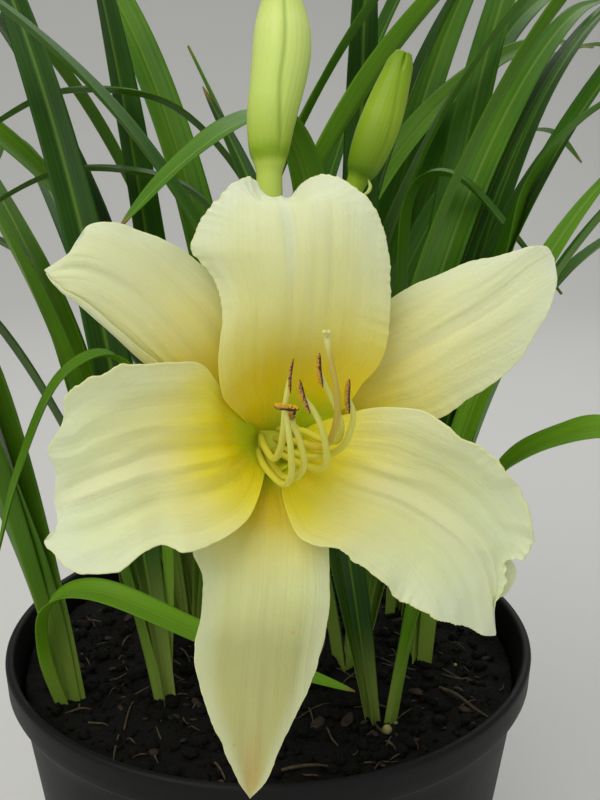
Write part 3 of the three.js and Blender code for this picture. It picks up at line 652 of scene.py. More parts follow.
def peatyPottingMix():
    # sieved and watered peat: near black, crumbly, no shine apart from damp specks
    v = compostValues
    material, tree, shader = newMaterial("pottingMixPeatSieved", {"Specular IOR Level": 0.2})
    place = addNode(tree, "NewGeometry")
    crumbs = addNode(tree, "TexNoise", {"Scale": scaleOf(v["crumb"]), "Detail": 6.0, "Roughness": 0.7},
                     {"Vector": place})
    grit = addNode(tree, "TexVoronoi", {"Scale": scaleOf(v["grit"])}, {"Vector": place})
    tones = addNode(tree, "ValToRGB", {"stops": [(0.3, v["damp"]), (0.55, v["peat"]), (0.8, v["lump"])]},
                    {"Fac": crumbs})
    rough = addNode(tree, "MapRange", {"range": (0, 1, 0.7, 1)}, {"Value": crumbs})
    bump = addNode(tree, "Bump", {"Strength": 0.8, "Distance": 0.0006}, {"Height": grit})
    linkTo(shader, {"Base Color": tones, "Roughness": rough, "Normal": bump})
    return material


def driedPlantStuff(name, dark, light, spacing):
    # split and dried wood or straw, or a feed bead's coat: dull, streaked and a little rough
    return mottled(name, {"Roughness": 0.85}, spacing, [(0.3, dark), (0.7, light)], (0.5, 0.3), detail=4.0)


def roundLump(rings, sides):
    # a unit ball as rows of rings, ready to be dented and stretched
    up = np.linspace(0, math.pi, rings + 2)[1:-1]
    turn = onceRound(sides)
    ball = np.stack([np.sin(up)[:, None] * np.cos(turn), np.sin(up)[:, None] * np.sin(turn),
                     np.cos(up)[:, None] * np.ones(sides)], -1)
    return ball[::-1]


def turnAbout(points, azimuth, tilt):
    c, s, ct, st = math.cos(azimuth), math.sin(azimuth), math.cos(tilt), math.sin(tilt)
    tipped = points @ np.array([[ct, 0, -st], [0, 1, 0], [st, 0, ct]])
    return tipped @ np.array([[c, s, 0], [-s, c, 0], [0, 0, 1]])


def scatterLumps(count, reach, sizes, rings, sides, sink):
    parts = []
    ball = roundLump(rings, sides)
    for i in range(count):
        size = sizes[0] + (sizes[1] - sizes[0]) * dice.random() ** 2.5
        shape = np.array([1.0, 0.6 + 0.4 * dice.random(), 0.5 + 0.4 * dice.random()]) * size * reach
        radius = (compostValues["spread"] - shape.max()) * math.sqrt(dice.random())
        turn = 2 * math.pi * dice.random()
        x, y = radius * math.cos(turn), radius * math.sin(turn)
        dented = ball * (0.75 + 0.5 * dice.random(ball.shape[:2]))[..., None] * shape
        dented = turnAbout(dented, 6.28 * dice.random(), 0.8 * (dice.random() - 0.5))
        z = float(soilHeight(np.array(x), np.array(y))) + sink * shape[2]
        parts.append(ringPart(dented + [x, y, z], {"tone": dice.random()}))
    return parts


def makeCompost():
    v = compostValues
    floor, gap = potValues["floorTop"] + v["gap"], potValues["wall"] + v["gap"]
    edge = soilLevel - v["edgeDrop"]
    rings = [levelRing(potWallRadius(z) - gap, z, v["turns"]) for z in np.linspace(floor, edge, 8)]
    for radius in np.linspace(1, 0.004, v["rings"]) * (potWallRadius(edge) - gap - 0.2):
        ring = levelRing(radius, 0, v["turns"])
        ring[:, 2] = soilHeight(ring[:, 0], ring[:, 1])
        rings.append(ring)
    soil = peatyPottingMix()
    makeObject("compostBed", [ringPart(np.array(rings), {"tone": 0.5})], soil, "compost")
    crumbs = scatterLumps(v["crumbs"], 1.0, v["crumbSizes"], 5, 7, 0.2)
    makeObject("compostCrumbs", crumbs, soil)
    bark = driedPlantStuff("pineBarkMilled", v["barkDark"], v["barkLight"], v["barkGrain"])
    chips = scatterLumps(v["bark"], np.array(v["barkShape"]), v["barkSizes"], 5, 8, 0.5)
    makeObject("barkChips", chips, bark)
    bead = driedPlantStuff("fertiliserBeadResinCoated", v["beadDark"], v["bead"], v["beadGrain"])
    beads = scatterLumps(v["beads"], 1.0, v["beadSizes"], 6, 10, 0.9)
    # one larger bead lies in plain view
    beads.append(ringPart(roundLump(8, 14) * 1.9 + [46.7, -63.0, 170.6], {"tone": 0.5}))
    makeObject("feedBeads", beads, bead)


def makeFibres():
    v = compostValues
    straw = driedPlantStuff("strawDriedSplit", v["strawDark"], v["straw"], v["strawGrain"])
    # the straws that lie in plain view, then the scattered ones
    ends = [((70.8, -30), (88, -50), 0.75), ((77, -29), (84, -37), 0.5), ((2, -86), (26, -82.5), 0.7),
            ((-19, -82), (-13, -92), 0.5), ((46, -68), (50, -73), 0.5), ((96, -30), (99, -22), 0.4)]
    shortest, longer = v["fibreLength"]
    for i in range(v["fibres"]):
        radius, turn = v["fibreSpread"] * math.sqrt(dice.random()), 2 * math.pi * dice.random()
        heading, length = 2 * math.pi * dice.random(), shortest + longer * dice.random() ** 2
        x, y = radius * math.cos(turn), radius * math.sin(turn)
        far = (x + length * math.cos(heading), y + length * math.sin(heading))
        if math.hypot(*far) < v["spread"]:
            ends.append(((x, y), far, v["fibreHalf"] + v["fibreHalf"] * dice.random()))
    parts = []
    at = np.array([0, 0.35, 0.7, 1])
    for start, end, thick in ends:
        side, bow = v["fibreBend"] * (dice.random(3) - 0.5), v["fibreBow"] * dice.random()
        x, y = (start[k] + (end[k] - start[k]) * at + side[k] * at * (1 - at) for k in (0, 1))
        line = np.stack([x, y, soilHeight(x, y) + 0.5 + 4 * bow * at * (1 - at)], -1)
        parts.append(ringPart(ringsAlong(line, [thick, thick, thick * 0.5], 6, 12), {"tone": dice.random()}))
    makeObject("compostFibres", parts, straw)


makeCompost()
makeFibres()
print("compost made")

scapeValues = {"radius": 3.3, "branch": 2.8, "stem": "#6f8f2e", "pale": "#b5c766", "bract": "#5d7f28",
               "mottle": 11}


def greenStem():
    # a smooth young stalk: faint length ribs, waxy, paler towards its joints
    v = scapeValues
    return mottled("flowerStalkGrownWaxy", {
        "Roughness": 0.42, "Subsurface Weight": 0.15, "Subsurface Radius": (1.0, 1.2, 0.3),
        "Subsurface Scale": 0.002},
        v["mottle"], [(0.1, v["bract"]), (0.5, v["stem"]), (1.0, v["pale"])], (0.3, 0.2), (0, 0.5, 1))


def ribs(count, depth):
    return lambda turn, along: 1 + depth * np.cos(count * turn)


def makeScape():
    v = scapeValues
    swell = [v["radius"] * s for s in (1.05, 1, 1, 0.97, 0.97, 1.0, 1.12)]
    parts = [ringPart(ringsAlong(scapePath, swell, 40, 90, ribs(10, 0.012)), {"tone": 0.25})]
    branches = [
        ([[2, -5, -62], [-3, 0, -63], [-6, 4.7, -58], [-5.2, 4.15, -50.9]], 0.3),
        ([[6, 44, -52], [4.4, 57, -46], [2.6, 69.4, -43.1]], 0.55),
        ([[6, 42, -52], [15, 57, -48], [25.6, 73.8, -44.1]], 0.3),
    ]
    radii = [v["branch"] * s for s in (1.15, 1, 1, 1.05)]
    for points, tone in branches:
        parts.append(ringPart(ringsAlong(fromFlower(points), radii, 32, 40, ribs(8, 0.015)), {"tone": tone}))
    # the dried tip of a bract, curled round beside the small bud
    curl = fromFlower([[32.8, 82.6, -41], [33.5, 80.2, -40], [32.7, 78.2, -39.5], [30.8, 77.2, -39.5]])
    parts.append(ringPart(ringsAlong(curl, [0.2, 0.6, 0.55, 0.2], 12, 24), {"tone": 0.95}))
    makeObject("flowerStalk", parts, greenStem(), "scape")
    bracts = [(7, [[7, 40, -53], [13, 50, -58], [16, 66, -60], [15, 84, -57]]),
              (6, [[1, -6, -64], [-5, 0, -69], [-8, 14, -71], [-8, 26, -69]])]
    sheets = [leafPart({"width": width, "roll": 0.0, "points": fromFlower(points).tolist()}, 0.75, 40, 11)
              for width, points in bracts]
    makeObject("stalkBracts", sheets, leafMaterial, "scape")


makeScape()
print("scape made")

tepalValues = {
    "steps": 170, "across": 81, "thickMiddle": 0.85, "thickEdge": 0.4, "veinSpacing": 1.1,
    "halfSpan": 18, "crimpSpacing": 2.9, "crimpDepth": 0.24, "beadSpacing": 1.6, "beadDepth": 0.12,
    "foldLift": 0.9, "pale": "#e2eacc", "margin": "#e6e8a4", "vein": "#c6bf7a",
    "blush": "#cf9540", "pollen": "#d0a62a", "cloud": 14, "pollenGap": 5.9, "dimple": 1.1,
    "creamReach": 70, "foldSpacing": 3.5, "foldDepth": 0.4, "foldCell": 14, "foldStart": 0.4,
    "foldWidth": 0.6, "foldedColumns": 9, "rimStart": 0.82, "rimWidth": 0.18, "jitter": 3.5, "jitterCell": 8,
    "strengthCell": 9, "waveCell": 9, "pleatDepth": 0.55, "pleatCell": 3.2, "finePleatDepth": 0.3,
    "finePleatCell": 1.7, "biteDepth": 0.45, "biteCell": 4.2, "nickDepth": 0.22, "nickCell": 1.6,
    "keelThick": 0.5, "keelWidth": 1.3, "edgeThick": 0.12, "tipShare": 0.35, "heartDepth": -12.0,
}
# colour by distance from the throat, as parts of 70 mm: green, gold, lemon, cream and a pale tip
creamStops = [(0.1, "#aabb04"), (0.16, "#ccc202"), (0.21, "#dcc60a"), (0.29, "#dcca3c"), (0.37, "#e0d872"),
              (0.46, "#e1df94"), (0.56, "#e0e3a6"), (0.72, "#e0e7b4"), (0.9, "#e1ebc4")]
sideStops = [(0.1, "#b2c206"), (0.16, "#d4cc04"), (0.21, "#e2d20c"), (0.29, "#e6da3e"), (0.37, "#e8e078"),
             (0.46, "#e5e298")] + creamStops[6:]
topStops = creamStops[:7] + [(0.72, "#e4ebc2"), (0.9, "#eaf0da")]
# the upper sepals' ramp is lighter than creamStops, most in the yellows near the base: painted light over the
# shade that the petals cast there
sepalPaintedLightStops = [(0.1, "#b4c40a"), (0.16, "#dccf10"), (0.21, "#eed828"), (0.29, "#eedd5c"), (0.37, "#ebe28c"),
              (0.46, "#e6e4a4"), (0.56, "#e2e5b0"), (0.72, "#e2e8bc"), (0.9, "#e4edcc")]
# the lower sepal's ramp turns darker and greyer from halfway out to the tip: painted shade, as it hangs below
# the flower
lowerShadedStops = creamStops[:6] + [(0.56, "#dadf9e"), (0.8, "#babd7e"), (1.0, "#c0c07e")]

# three lines from the tube to the tip: left edge, midrib and right edge as seen from the front; what
# most tepals share is given in makeTepal
tepals = {
    "sepalLeft": {
        "left": [[-5, -0.5, -18], [-9, 2.5, -11], [-14, 8, -6], [-22, 14, -0.5], [-28.5, 17.5, 3],
            [-34.6, 21.5, 5.5], [-39.2, 25.6, 8.5], [-43.9, 30.4, 11.5], [-48.4, 35.2, 14],
            [-52.7, 39.4, 15.5], [-56.2, 43.2, 16], [-58.8, 46.8, 15]],
        "midrib": [[-4, 4.6, -18], [-7.1, 7, -13.3], [-10.5, 11.1, -8.4], [-14.3, 17.5, -3.3],
            [-20.2, 25.3, 2.8], [-27, 33.2, 8.5], [-34.1, 40.4, 13], [-40.5, 44.9, 16], [-46.3, 47.2, 17.7],
            [-51.2, 47.6, 18.2], [-55.1, 47.2, 17.2], [-58.8, 46.8, 15]],
        "right": [[-0.5, 7, -18], [-2.4, 11, -13], [-3.6, 18, -8], [-5.6, 29, -5], [-8.8, 41.4, -1.5],
            [-19.4, 51.6, 3], [-25.5, 55.3, 7], [-32.2, 57.8, 10.5], [-39.5, 60, 13.5], [-46.8, 58.9, 15.5],
            [-50.4, 52.3, 16.5], [-58.8, 46.8, 15]],
        "wave": 0.2, "pleats": 0.7, "crimp": 0.1, "glow": 0.6, "limit": 56, "fold": 2.7, "ragged": 0.3,
        "creases": [(0, -0.9, 2.2), (-9, 0.35, 1.6), (7, 0.3, 1.8)]},
    "sepalRight": {
        "left": [[2, 6, -18], [6, 12, -14], [13, 20, -11.5], [22, 30, -9.5], [36.6, 40.4, -8],
            [43.3, 44.4, -7], [51.6, 48.3, -6], [59.7, 51.5, -5.5], [68, 53.1, -5], [76.2, 55.5, -5],
            [82.5, 56.3, -6], [85.2, 52.9, -7]],
        "midrib": [[5.8, 4, -18], [9.5, 6.5, -14], [15.5, 11, -10.5], [22.5, 16, -7.5], [34.4, 21.9, -5.5],
            [40.4, 24.7, -4], [47.7, 28.7, -2.5], [54.5, 32.7, -1.8], [61.1, 36.4, -1.5], [69, 41.6, -2.2],
            [77.4, 48.2, -4], [85.2, 52.9, -7]],
        "right": [[6.8, -0.5, -18], [12, 1.5, -15], [20, 2.5, -12.5], [30, 2.5, -10], [43.1, 5.3, -8],
            [51.1, 6, -6.5], [59.7, 11.1, -5.5], [68, 16.9, -5], [75.5, 24.5, -4.5], [81.8, 35.2, -4],
            [85.5, 44.8, -5], [85.2, 52.9, -7]],
        "wave": 0.3, "pleats": 0.5, "crimp": 0.2, "glow": 0.55, "limit": 56, "ragged": 0.7,
        "creases": [(0.5, -0.95, 3.2), (-8, 0.3, 2), (9, 0.2, 1.6)]},
    "sepalBottom": {
        "left": [[4, -5, -17], [7, -9, -13.5], [12, -15, -10.5], [17.9, -23.8, -9], [19.3, -31.6, -7.5],
            [19.7, -40.2, -6.5], [19.2, -51, -6.5], [16.7, -63.6, -7], [12.3, -76, -8.5], [5.6, -90, -10],
            [1, -101.6, -13], [-4.1, -108.3, -16]],
        "midrib": [[1, -6, -17], [1.4, -10.2, -13.8], [1.5, -15.4, -10.6], [1.5, -22.3, -7.4],
            [1.3, -32.1, -4.8], [0.8, -43.1, -3.1], [-0.2, -53.9, -2.4], [-1.2, -64.9, -3.5],
            [-2.1, -76.1, -5.8], [-2.7, -87.8, -8.6], [-3.3, -98.3, -12.1], [-4.1, -108.3, -16]],
        "right": [[-3, -4.6, -17], [-6, -8, -13.5], [-10, -14, -10.5], [-16.1, -24, -8], [-20.3, -32.2, -6],
            [-17.3, -39.9, -4.5], [-17.5, -49.9, -4], [-19.8, -62.5, -3.5], [-17, -75.6, -5],
            [-12.5, -88.3, -7.5], [-7.8, -101, -12], [-4.1, -108.3, -16]],
        "wave": 0.25, "pleats": 0.5, "crimp": 0.1, "glow": 0.95, "ragged": 0.5, "creases": [(0, 0.25, 1.3)]},
    "petalTop": {
        "left": [[-1.8, 1.2, -17], [-4.1, 4.1, -9.5], [-6.2, 6.5, -4], [-10.7, 12, 2], [-12, 20.7, 5],
            [-11.5, 27.9, 7], [-10.6, 34.3, 8], [-12.3, 42.9, 8], [-17, 49.9, 8], [-19.4, 54.2, 9],
            [-16, 61.8, 10], [-12.4, 66.2, 10], [-7.8, 71.5, 8], [-3, 74.5, 4], [0.8, 70.8, -1],
            [3.5, 65, -9]],
        "midrib": [[2.7, 0.9, -17], [3.7, 5.2, -12], [5, 10.6, -8], [5.9, 16.9, -3.5], [7, 23.1, 2.5],
            [8, 28, 7.5], [8.5, 34, 12], [8.6, 40, 15], [8.6, 46, 17.2], [8.4, 51.5, 18.3], [8, 56.5, 18.2],
            [7.5, 61, 17], [6.8, 65, 14], [6, 68, 9], [5.4, 69.2, 1], [5.2, 65, -9]],
        "right": [[7.8, 0.6, -17], [14.7, 3.8, -10.5], [20.5, 6.2, -6.5], [24.9, 10.3, -1], [28.7, 16, 2],
            [33.2, 21, 4], [35.3, 27.4, 6], [36.1, 35.9, 8], [36.1, 44.7, 9], [35.6, 52.9, 10],
            [33.5, 60.1, 10.5], [30.5, 66.1, 10.5], [23.9, 72.1, 8.5], [15.7, 74.9, 4], [8.9, 70.8, -1],
            [7, 65, -9]],
        "wave": 0.35, "pleats": 0.6, "crimp": 0.7, "glow": 0.64, "notch": 6.4, "heart": (16, -3, 1),
        "ragged": 0.6, "creases": [(0, -0.35, 1.0)]},
    "petalLeft": {
        "left": [[1.2, -5.1, -17], [0.8, -8.3, -10.5], [0.2, -11.9, -6.5], [-1.2, -17, -1.5],
            [-3.9, -22.3, 3], [-8.9, -26.2, 7.5], [-14.5, -28.8, 11], [-20.8, -29.8, 14], [-26.7, -28.3, 13],
            [-33.1, -30.9, 16], [-40, -35.4, 17], [-49.6, -35.5, 15], [-59.6, -28, 11.5], [-56.5, -23.3, 9],
            [-57.9, -16.5, 7]],
        "midrib": [[-0.9, -2.4, -17], [-3.3, -2.6, -11], [-5.3, -2.6, -8], [-7.7, -2.8, -4.5],
            [-11.1, -3.4, 0], [-15.7, -4.3, 3], [-21.2, -5.1, 5.5], [-26.5, -5.9, 7.5], [-31.9, -7, 9],
            [-37.2, -8.8, 10.3], [-42.4, -10.7, 10.8], [-47.2, -12.6, 10.5], [-51.4, -14.3, 9.8],
            [-55.1, -15.8, 8.5], [-57.9, -16.5, 7]],
        "right": [[-0.3, 1.5, -17.5], [-2.7, 5.2, -10.2], [-6, 9.1, -5.3], [-11.6, 15.1, 1], [-16.2, 21.2, 8],
            [-22.6, 21.6, 13], [-30, 20.9, 17], [-37.1, 20.1, 20], [-43, 17.6, 21], [-48.2, 15.8, 20.5],
            [-52.4, 12, 18.5], [-53.2, 5.5, 16], [-58.1, -2, 13.5], [-56.9, -9, 10], [-57.9, -16.5, 7]],
        # its heart sits above the throat, so the lower half comes out paler: painted highlight
        "wave": 0.7, "pleats": 1.35, "crimp": 0.4, "glow": 1.0, "heart": (1, 1.5, 0.5), "ragged": 1.1,
        "creases": [(-1.2, 0.8, 0.9), (1.4, -0.5, 1.0), (7, 0.4, 0.8), (-8, -0.6, 2.2)]},
    "petalRight": {
        "left": [[7.2, 0, -17], [15.3, 4.4, -9.5], [23.9, 7.2, -4.5], [30.2, 8.9, 1], [37.3, 9.2, 5],
            [45.2, 8.1, 9.5], [52, 3.7, 12.5], [57.1, 0.2, 12.5], [63.9, -4, 12], [71, -12.7, 9.5],
            [75.9, -26, 4.5], [75.1, -33.3, -1], [71.8, -35.8, -6.5], [70.4, -42.8, -10],
            [68.5, -50.4, -14.5], [70, -59.8, -18]],
        "midrib": [[5.1, -3.6, -17], [9.4, -5.4, -11], [13.5, -7.1, -8.5], [17.9, -8.5, -6.5],
            [22.8, -10.2, -5], [28.2, -12.3, -3.7], [34.2, -14.2, -2.7], [40.2, -16.2, -2.3],
            [46, -19.1, -2.5], [51.8, -22.9, -3.2], [57.2, -27.1, -4.4], [61.8, -32.3, -6.2],
            [65.2, -38.2, -9], [67.2, -44.9, -12], [68.6, -52, -15], [70, -59.8, -18]],
        "right": [[3.9, -6.6, -17], [5, -9.2, -10.5], [5.6, -12.3, -7.5], [5.9, -16.1, -4], [7.4, -21.2, -1],
            [10.6, -27.4, 2.5], [16.2, -29.8, 5], [22.3, -30.3, 6.5], [28.5, -35.9, 6.5], [36.2, -42.4, 5],
            [42.6, -46.3, 3], [48.6, -50.6, 0], [54.5, -53, -3.5], [59.8, -55.1, -8], [65.3, -58.5, -13],
            [70, -59.8, -18]],
        # its heart sits above the throat, so the lower half comes out paler: painted highlight
        "wave": 1.15, "pleats": 1.4, "crimp": 1.05, "glow": 0.88, "heart": (1, 0, 0.6), "ragged": 1.5,
        "creases": [(0.5, 0.7, 0.9), (1.9, -0.4, 0.9), (-8, -0.9, 1.6), (-4.5, 0.3, 0.8)]},
    "petalRightLobe": {
        "left": [[72.4, -35.6, -11], [74.5, -37.8, -12], [75.3, -40.3, -13], [74.4, -44.1, -14.5],
            [72.4, -47.1, -16], [69.9, -48.3, -17]],
        "midrib": [[71.4, -35.4, -12], [72.4, -37.9, -12.6], [72.8, -40.4, -13.4], [72.2, -43.6, -14.8],
            [70.9, -46.2, -16.2], [69, -47.9, -17.3]],
        "right": [[69.2, -35.6, -13], [69.3, -38, -13.6], [69.4, -40.5, -14.2], [69, -43.7, -15.6],
            [68.3, -46.3, -16.8], [67.9, -48, -17.6]],
        "wave": 0.1, "pleats": 0.1, "crimp": 0.2, "glow": 0.92, "ragged": 0.5, "creases": [], "share": 0.3},
}


def tepalSkin(name, stops, rib, marginShare, blushShare):
    # a living tepal: thin, soft and a little see-through, satin, with veins drawn along it
    v = tepalValues
    material, tree, shader = newMaterial(name, {
        "Roughness": 0.52, "IOR": 1.4, "Specular IOR Level": 0.25, "Subsurface Weight": 0.6,
        "Subsurface Radius": (1.0, 0.9, 0.45), "Subsurface Scale": 0.0014})
    read = {key: addNode(tree, "Attribute", {"attribute_name": key})
            for key in ("along", "across", "side", "reach", "throat", "tone")}
    place = addNode(tree, "NewGeometry")
    veinPlace = addNode(tree, "CombineXYZ", None, {"X": read["side"], "Y": read["along"], "Z": read["tone"]})
    veins = addNode(tree, "TexNoise", {"Scale": 1 / v["veinSpacing"], "Detail": 3.0, "Roughness": 0.65},
                    {"Vector": veinPlace})
    # real cells are finer than the dimples, which are coarse enough to show
    clouds, dimples = (addNode(tree, "TexNoise", {"Scale": scaleOf(v[key]), "Detail": detail},
                               {"Vector": place}) for key, detail in (("cloud", 3.0), ("dimple", 2.0)))
    far = addedUp(tree, -0.08, (read["throat"], 1 / v["creamReach"]), (clouds, 0.12), (veins, 0.04))
    ramp = addNode(tree, "ValToRGB", {"stops": stops}, {"Fac": far})
    veined = addNode(tree, "MapRange", {"range": (0.45, 0.8, 0, 0.2)}, {"Value": veins})
    edge, sideways = (addNode(tree, "Math", {"operation": "ABSOLUTE"}, {0: read[key]})
                      for key in ("across", "reach"))
    blushStops = [(at, [share * blushShare] * 3 + [1])
                  for at, share in ((0.78, 0), (0.89, 0.8), (0.94, 1), (0.985, 0.25))]
    nearTip = addNode(tree, "ValToRGB", {"stops": blushStops}, {"Fac": read["along"]})
    # one cell in four holds a speck of pollen, on the blushed sepal alone
    dots = addNode(tree, "TexVoronoi", {"Scale": scaleOf(v["pollenGap"])}, {"Vector": place})
    cell = addNode(tree, "SeparateColor", None, {"Color": dots.outputs["Color"]})
    seldom = addNode(tree, "Math", {"operation": "GREATER_THAN", 1: 0.72 if blushShare else 1.0}, {0: cell})
    outFar = (read["throat"], 24, 40, 0, 1)
    colour = tinted(tree, ramp, (v["vein"], veined),
                    (v["pale"], (edge, 0.5, 0.97, 0, marginShare), outFar),
                    (rib["colour"], (sideways, 0.3, rib["width"], rib["share"], 0),
                     (read["throat"], rib["start"], rib["start"] + 14, 0, 1)),
                    (v["margin"], (edge, 0.975, 0.995, 0, 0.7), outFar),
                    (v["blush"], nearTip, (sideways, 0.5, 4, 1, 0)),
                    (v["pollen"], seldom, (dots, 0.04, 0.14, 0.6, 0)))
    skin = addNode(tree, "Bump", {"Strength": 0.5, "Distance": 0.0003}, {"Height": dimples})
    bump = addNode(tree, "Bump", {"Strength": 0.75, "Distance": 0.0004}, {"Height": veins, "Normal": skin})
    linkTo(shader, {"Base Color": colour, "Normal": bump})
    return material


def tepalFace(lines, along, across):
    left, midrib, right = (smoothCurve(lines[key], along)[:, None] for key in ("left", "midrib", "right"))
    v = across[None, :, None]
    return midrib + v * (right - left) / 2 + v ** 2 * ((right + left) / 2 - midrib)


def normalOf(points):
    return unit(np.cross(np.gradient(points, axis=1), np.gradient(points, axis=0)))


def grain(x, y, cell, seed):
    # smooth noise between about -1 and 1
    return 2 * latticeNoise(x, y, cell, seed)


# Turns the first columns of a face back over the margin, as a rolled edge
def foldMargin(face, folded, width, lift, u):
    edge, inward = face[:, folded], unit(face[:, folded + 3] - face[:, folded])
    up = normalOf(face)[:, folded + 3]
    over = np.linspace(1, 0, folded, endpoint=False)[None, :, None]
    shape = (smoothStep((u - 0.3) * 8) * smoothStep((1 - u) * 3.2))[..., None]
    rolled = edge[:, None] + (inward[:, None] * width * over
                              + up[:, None] * lift * np.sin(np.minimum(over * 1.6, 1) * math.pi / 2)) * shape
    slight = edge[:, None] - inward[:, None] * 0.02 * over
    face[:, :folded] = np.where(shape > 0.02, rolled, slight)
    return face


def makeTepal(name, own, seed, material):
    v = tepalValues
    lines = {"limit": 70, "fold": 0, "notch": 0, "heart": (1, -3, 1), "share": 1, **own}
    along = np.linspace(0, 1, int(v["steps"] * lines["share"]))
    across = np.linspace(-1, 1, int(v["across"] * lines["share"]) | 1)
    across = np.sign(across) * (1 - (1 - np.abs(across)) ** 1.25)  # closer rows near the margins
    face = tepalFace(lines, along, across)
    u, w = along[:, None], across[None, :]
    out = np.abs(w)
    # two lobes stand up on both sides of the tip, which is bent back
    face[..., 1] -= lines["notch"] * np.exp(-((u - 0.87) / 0.05) ** 2) * out * (1 - out ** 3)
    outer = smoothStep((u - 0.3) * 5) * smoothStep(u * 3) * smoothStep((1 - u) * 7)
    halfWidth = np.linalg.norm(face[:, -1] - face[:, 0], axis=-1)[:, None] / 2
    runs = [np.concatenate([[0], np.cumsum(np.linalg.norm(np.diff(face[:, k], axis=0), axis=-1))])[:, None]
            for k in (0, -1)]
    run = np.where(w < 0, runs[0], runs[1])
    row = np.where(w < 0, 5.0, 45.0)  # each margin reads its own rows of noise

    def ruffle(shift, cell, extra):
        return grain(run, row + shift, cell, seed + extra)

    rim = np.clip((out - v["rimStart"]) / v["rimWidth"], 0, 1) ** 1.4
    broad = np.clip((out - v["foldStart"]) / v["foldWidth"], 0, 1) ** 1.8
    jitter = v["jitter"] * ruffle(0, v["jitterCell"], 0)
    strength = np.clip(0.5 + 1.2 * ruffle(20, v["strengthCell"], 1), 0, 1.4)
    crimp = v["crimpDepth"] * lines["crimp"] * strength
    crimp = crimp * np.sin(2 * math.pi * run / v["crimpSpacing"] + jitter)
    folds = v["foldDepth"] * lines["crimp"] * np.clip(ruffle(31, v["foldCell"], 2), 0, 1)
    folds = folds * np.sin(2 * math.pi * run / v["foldSpacing"] + jitter)
    wave = lines["wave"] * (ruffle(11, v["waveCell"], 3) + 0.5 * ruffle(13, v["waveCell"] / 2, 4))
    # veins and pleats spread from the throat, then run on side by side and end at the margin
    widest = np.argmax(halfWidth)
    narrowing = np.where(np.arange(len(along))[:, None] > widest, halfWidth / halfWidth[widest], 1)
    side, reach = w * v["halfSpan"] * narrowing, w * halfWidth
    pleats = v["pleatDepth"] * grain(side, u * 9 + 30, v["pleatCell"], seed + 5)
    pleats = pleats + v["finePleatDepth"] * grain(side, u * 12 + 10, v["finePleatCell"], seed + 6)
    pleats = lines["pleats"] * pleats
    pleats = pleats * (1 + 0.5 * np.exp(-(reach / 7) ** 2)) * (1 - 0.7 * out ** 6)
    for place, height, spread in lines["creases"]:
        pleats = pleats + height * np.exp(-((side - place) / spread) ** 2)
    pleats = pleats * smoothStep((u - 0.12) * 4) * smoothStep((1 - u) * 5)
    lift = (crimp * rim + folds * broad + wave * broad * 1.6) * outer + pleats
    front = face + normalOf(face) * lift[..., None]
    outwards = unit(np.gradient(face, axis=1)) * np.sign(w)[..., None]
    bead = v["beadDepth"] * lines["crimp"] * np.sin(2 * math.pi * run / v["beadSpacing"] + 2 * jitter)
    bites = v["biteDepth"] * ruffle(17, v["biteCell"], 7) + v["nickDepth"] * ruffle(23, v["nickCell"], 8)
    bites = lines["ragged"] * bites * out ** 6
    front = front + outwards * ((bead * out ** 12 + bites) * outer)[..., None]
    if lines["fold"]:
        front = foldMargin(front, v["foldedColumns"], lines["fold"], v["foldLift"], u)
    thick = v["thickEdge"] + (v["thickMiddle"] - v["thickEdge"]) * (1 - out ** 2)
    thick = thick + v["keelThick"] * np.exp(-(reach / v["keelWidth"]) ** 2) * (1 - u)
    thick = thick + v["edgeThick"] * out ** 14
    thick = thick * (v["tipShare"] + (1 - v["tipShare"]) * smoothStep((1 - u) * 9))
    normals = normalOf(face)
    if lines["fold"]:
        rolled = v["foldedColumns"] + 3
        normals[:, :rolled] = normalOf(front)[:, :rolled]
    back = front - normals * thick[..., None]
    # how far each point lies from the yellow throat; depth counts less on the raised side petals, whose
    # hearts sit above the throat so that their lower halves come out paler: painted highlight
    heartX, heartY, depthShare = lines["heart"]
    offset = (front - np.array([heartX, heartY, v["heartDepth"]])) * [1, 1, depthShare]
    distance = np.linalg.norm(offset, axis=-1) * lines["glow"]
    distance = np.minimum(distance, lines["limit"])
    points, faces, values = sheetPart(front[:, ::-1], back[:, ::-1], {
        "along": u, "across": w[:, ::-1], "side": side[:, ::-1], "reach": reach[:, ::-1],
        "throat": distance[:, ::-1], "tone": seed})
    makeObject(name, [(fromFlower(points), faces, values)], material, "perianth")


# the midrib's band: how strongly and how wide it shows, in mm, and how far out it starts
petalRib = {"share": 0.32, "width": 7.5, "start": 22, "colour": "#e5e0b6"}
topRib = {"share": 0.45, "width": 2.6, "start": 30, "colour": "#dfe6cc"}
sepalRib = {"share": 0.1, "width": 2.6, "start": 15, "colour": "#dfe6cc"}
lowerRib = {"share": 0.12, "width": 9, "start": 30, "colour": "#c9b98a"}
petalSkin = tepalSkin("petalFreshSatin", sideStops, petalRib, 0.3, 0.0)
sepalSkin = tepalSkin("sepalFreshSatin", sepalPaintedLightStops, sepalRib, 0.35, 0.0)
skins = {"petalLeft": petalSkin, "petalRight": petalSkin, "petalRightLobe": petalSkin,
         "petalTop": tepalSkin("petalFreshPaleRibbed", topStops, topRib, 0.45, 0.0),
         "sepalLeft": sepalSkin, "sepalRight": sepalSkin,
         # the lower sepal: a real blush near its tip, and painted shade over its outer half from its ramp
         "sepalBottom": tepalSkin("sepalFreshBlushedPaintedShade", lowerShadedStops, lowerRib, 0.45, 0.36)}
for order, (tepalName, tepalLines) in enumerate(tepals.items()):
    makeTepal(tepalName, tepalLines, 50 + 10 * order, skins[tepalName])
print("tepals made")

fleshValues = {"cloud": 3.8, "ribs": 9.0, "seam": "#7f9c20", "seamShare": 0.45}


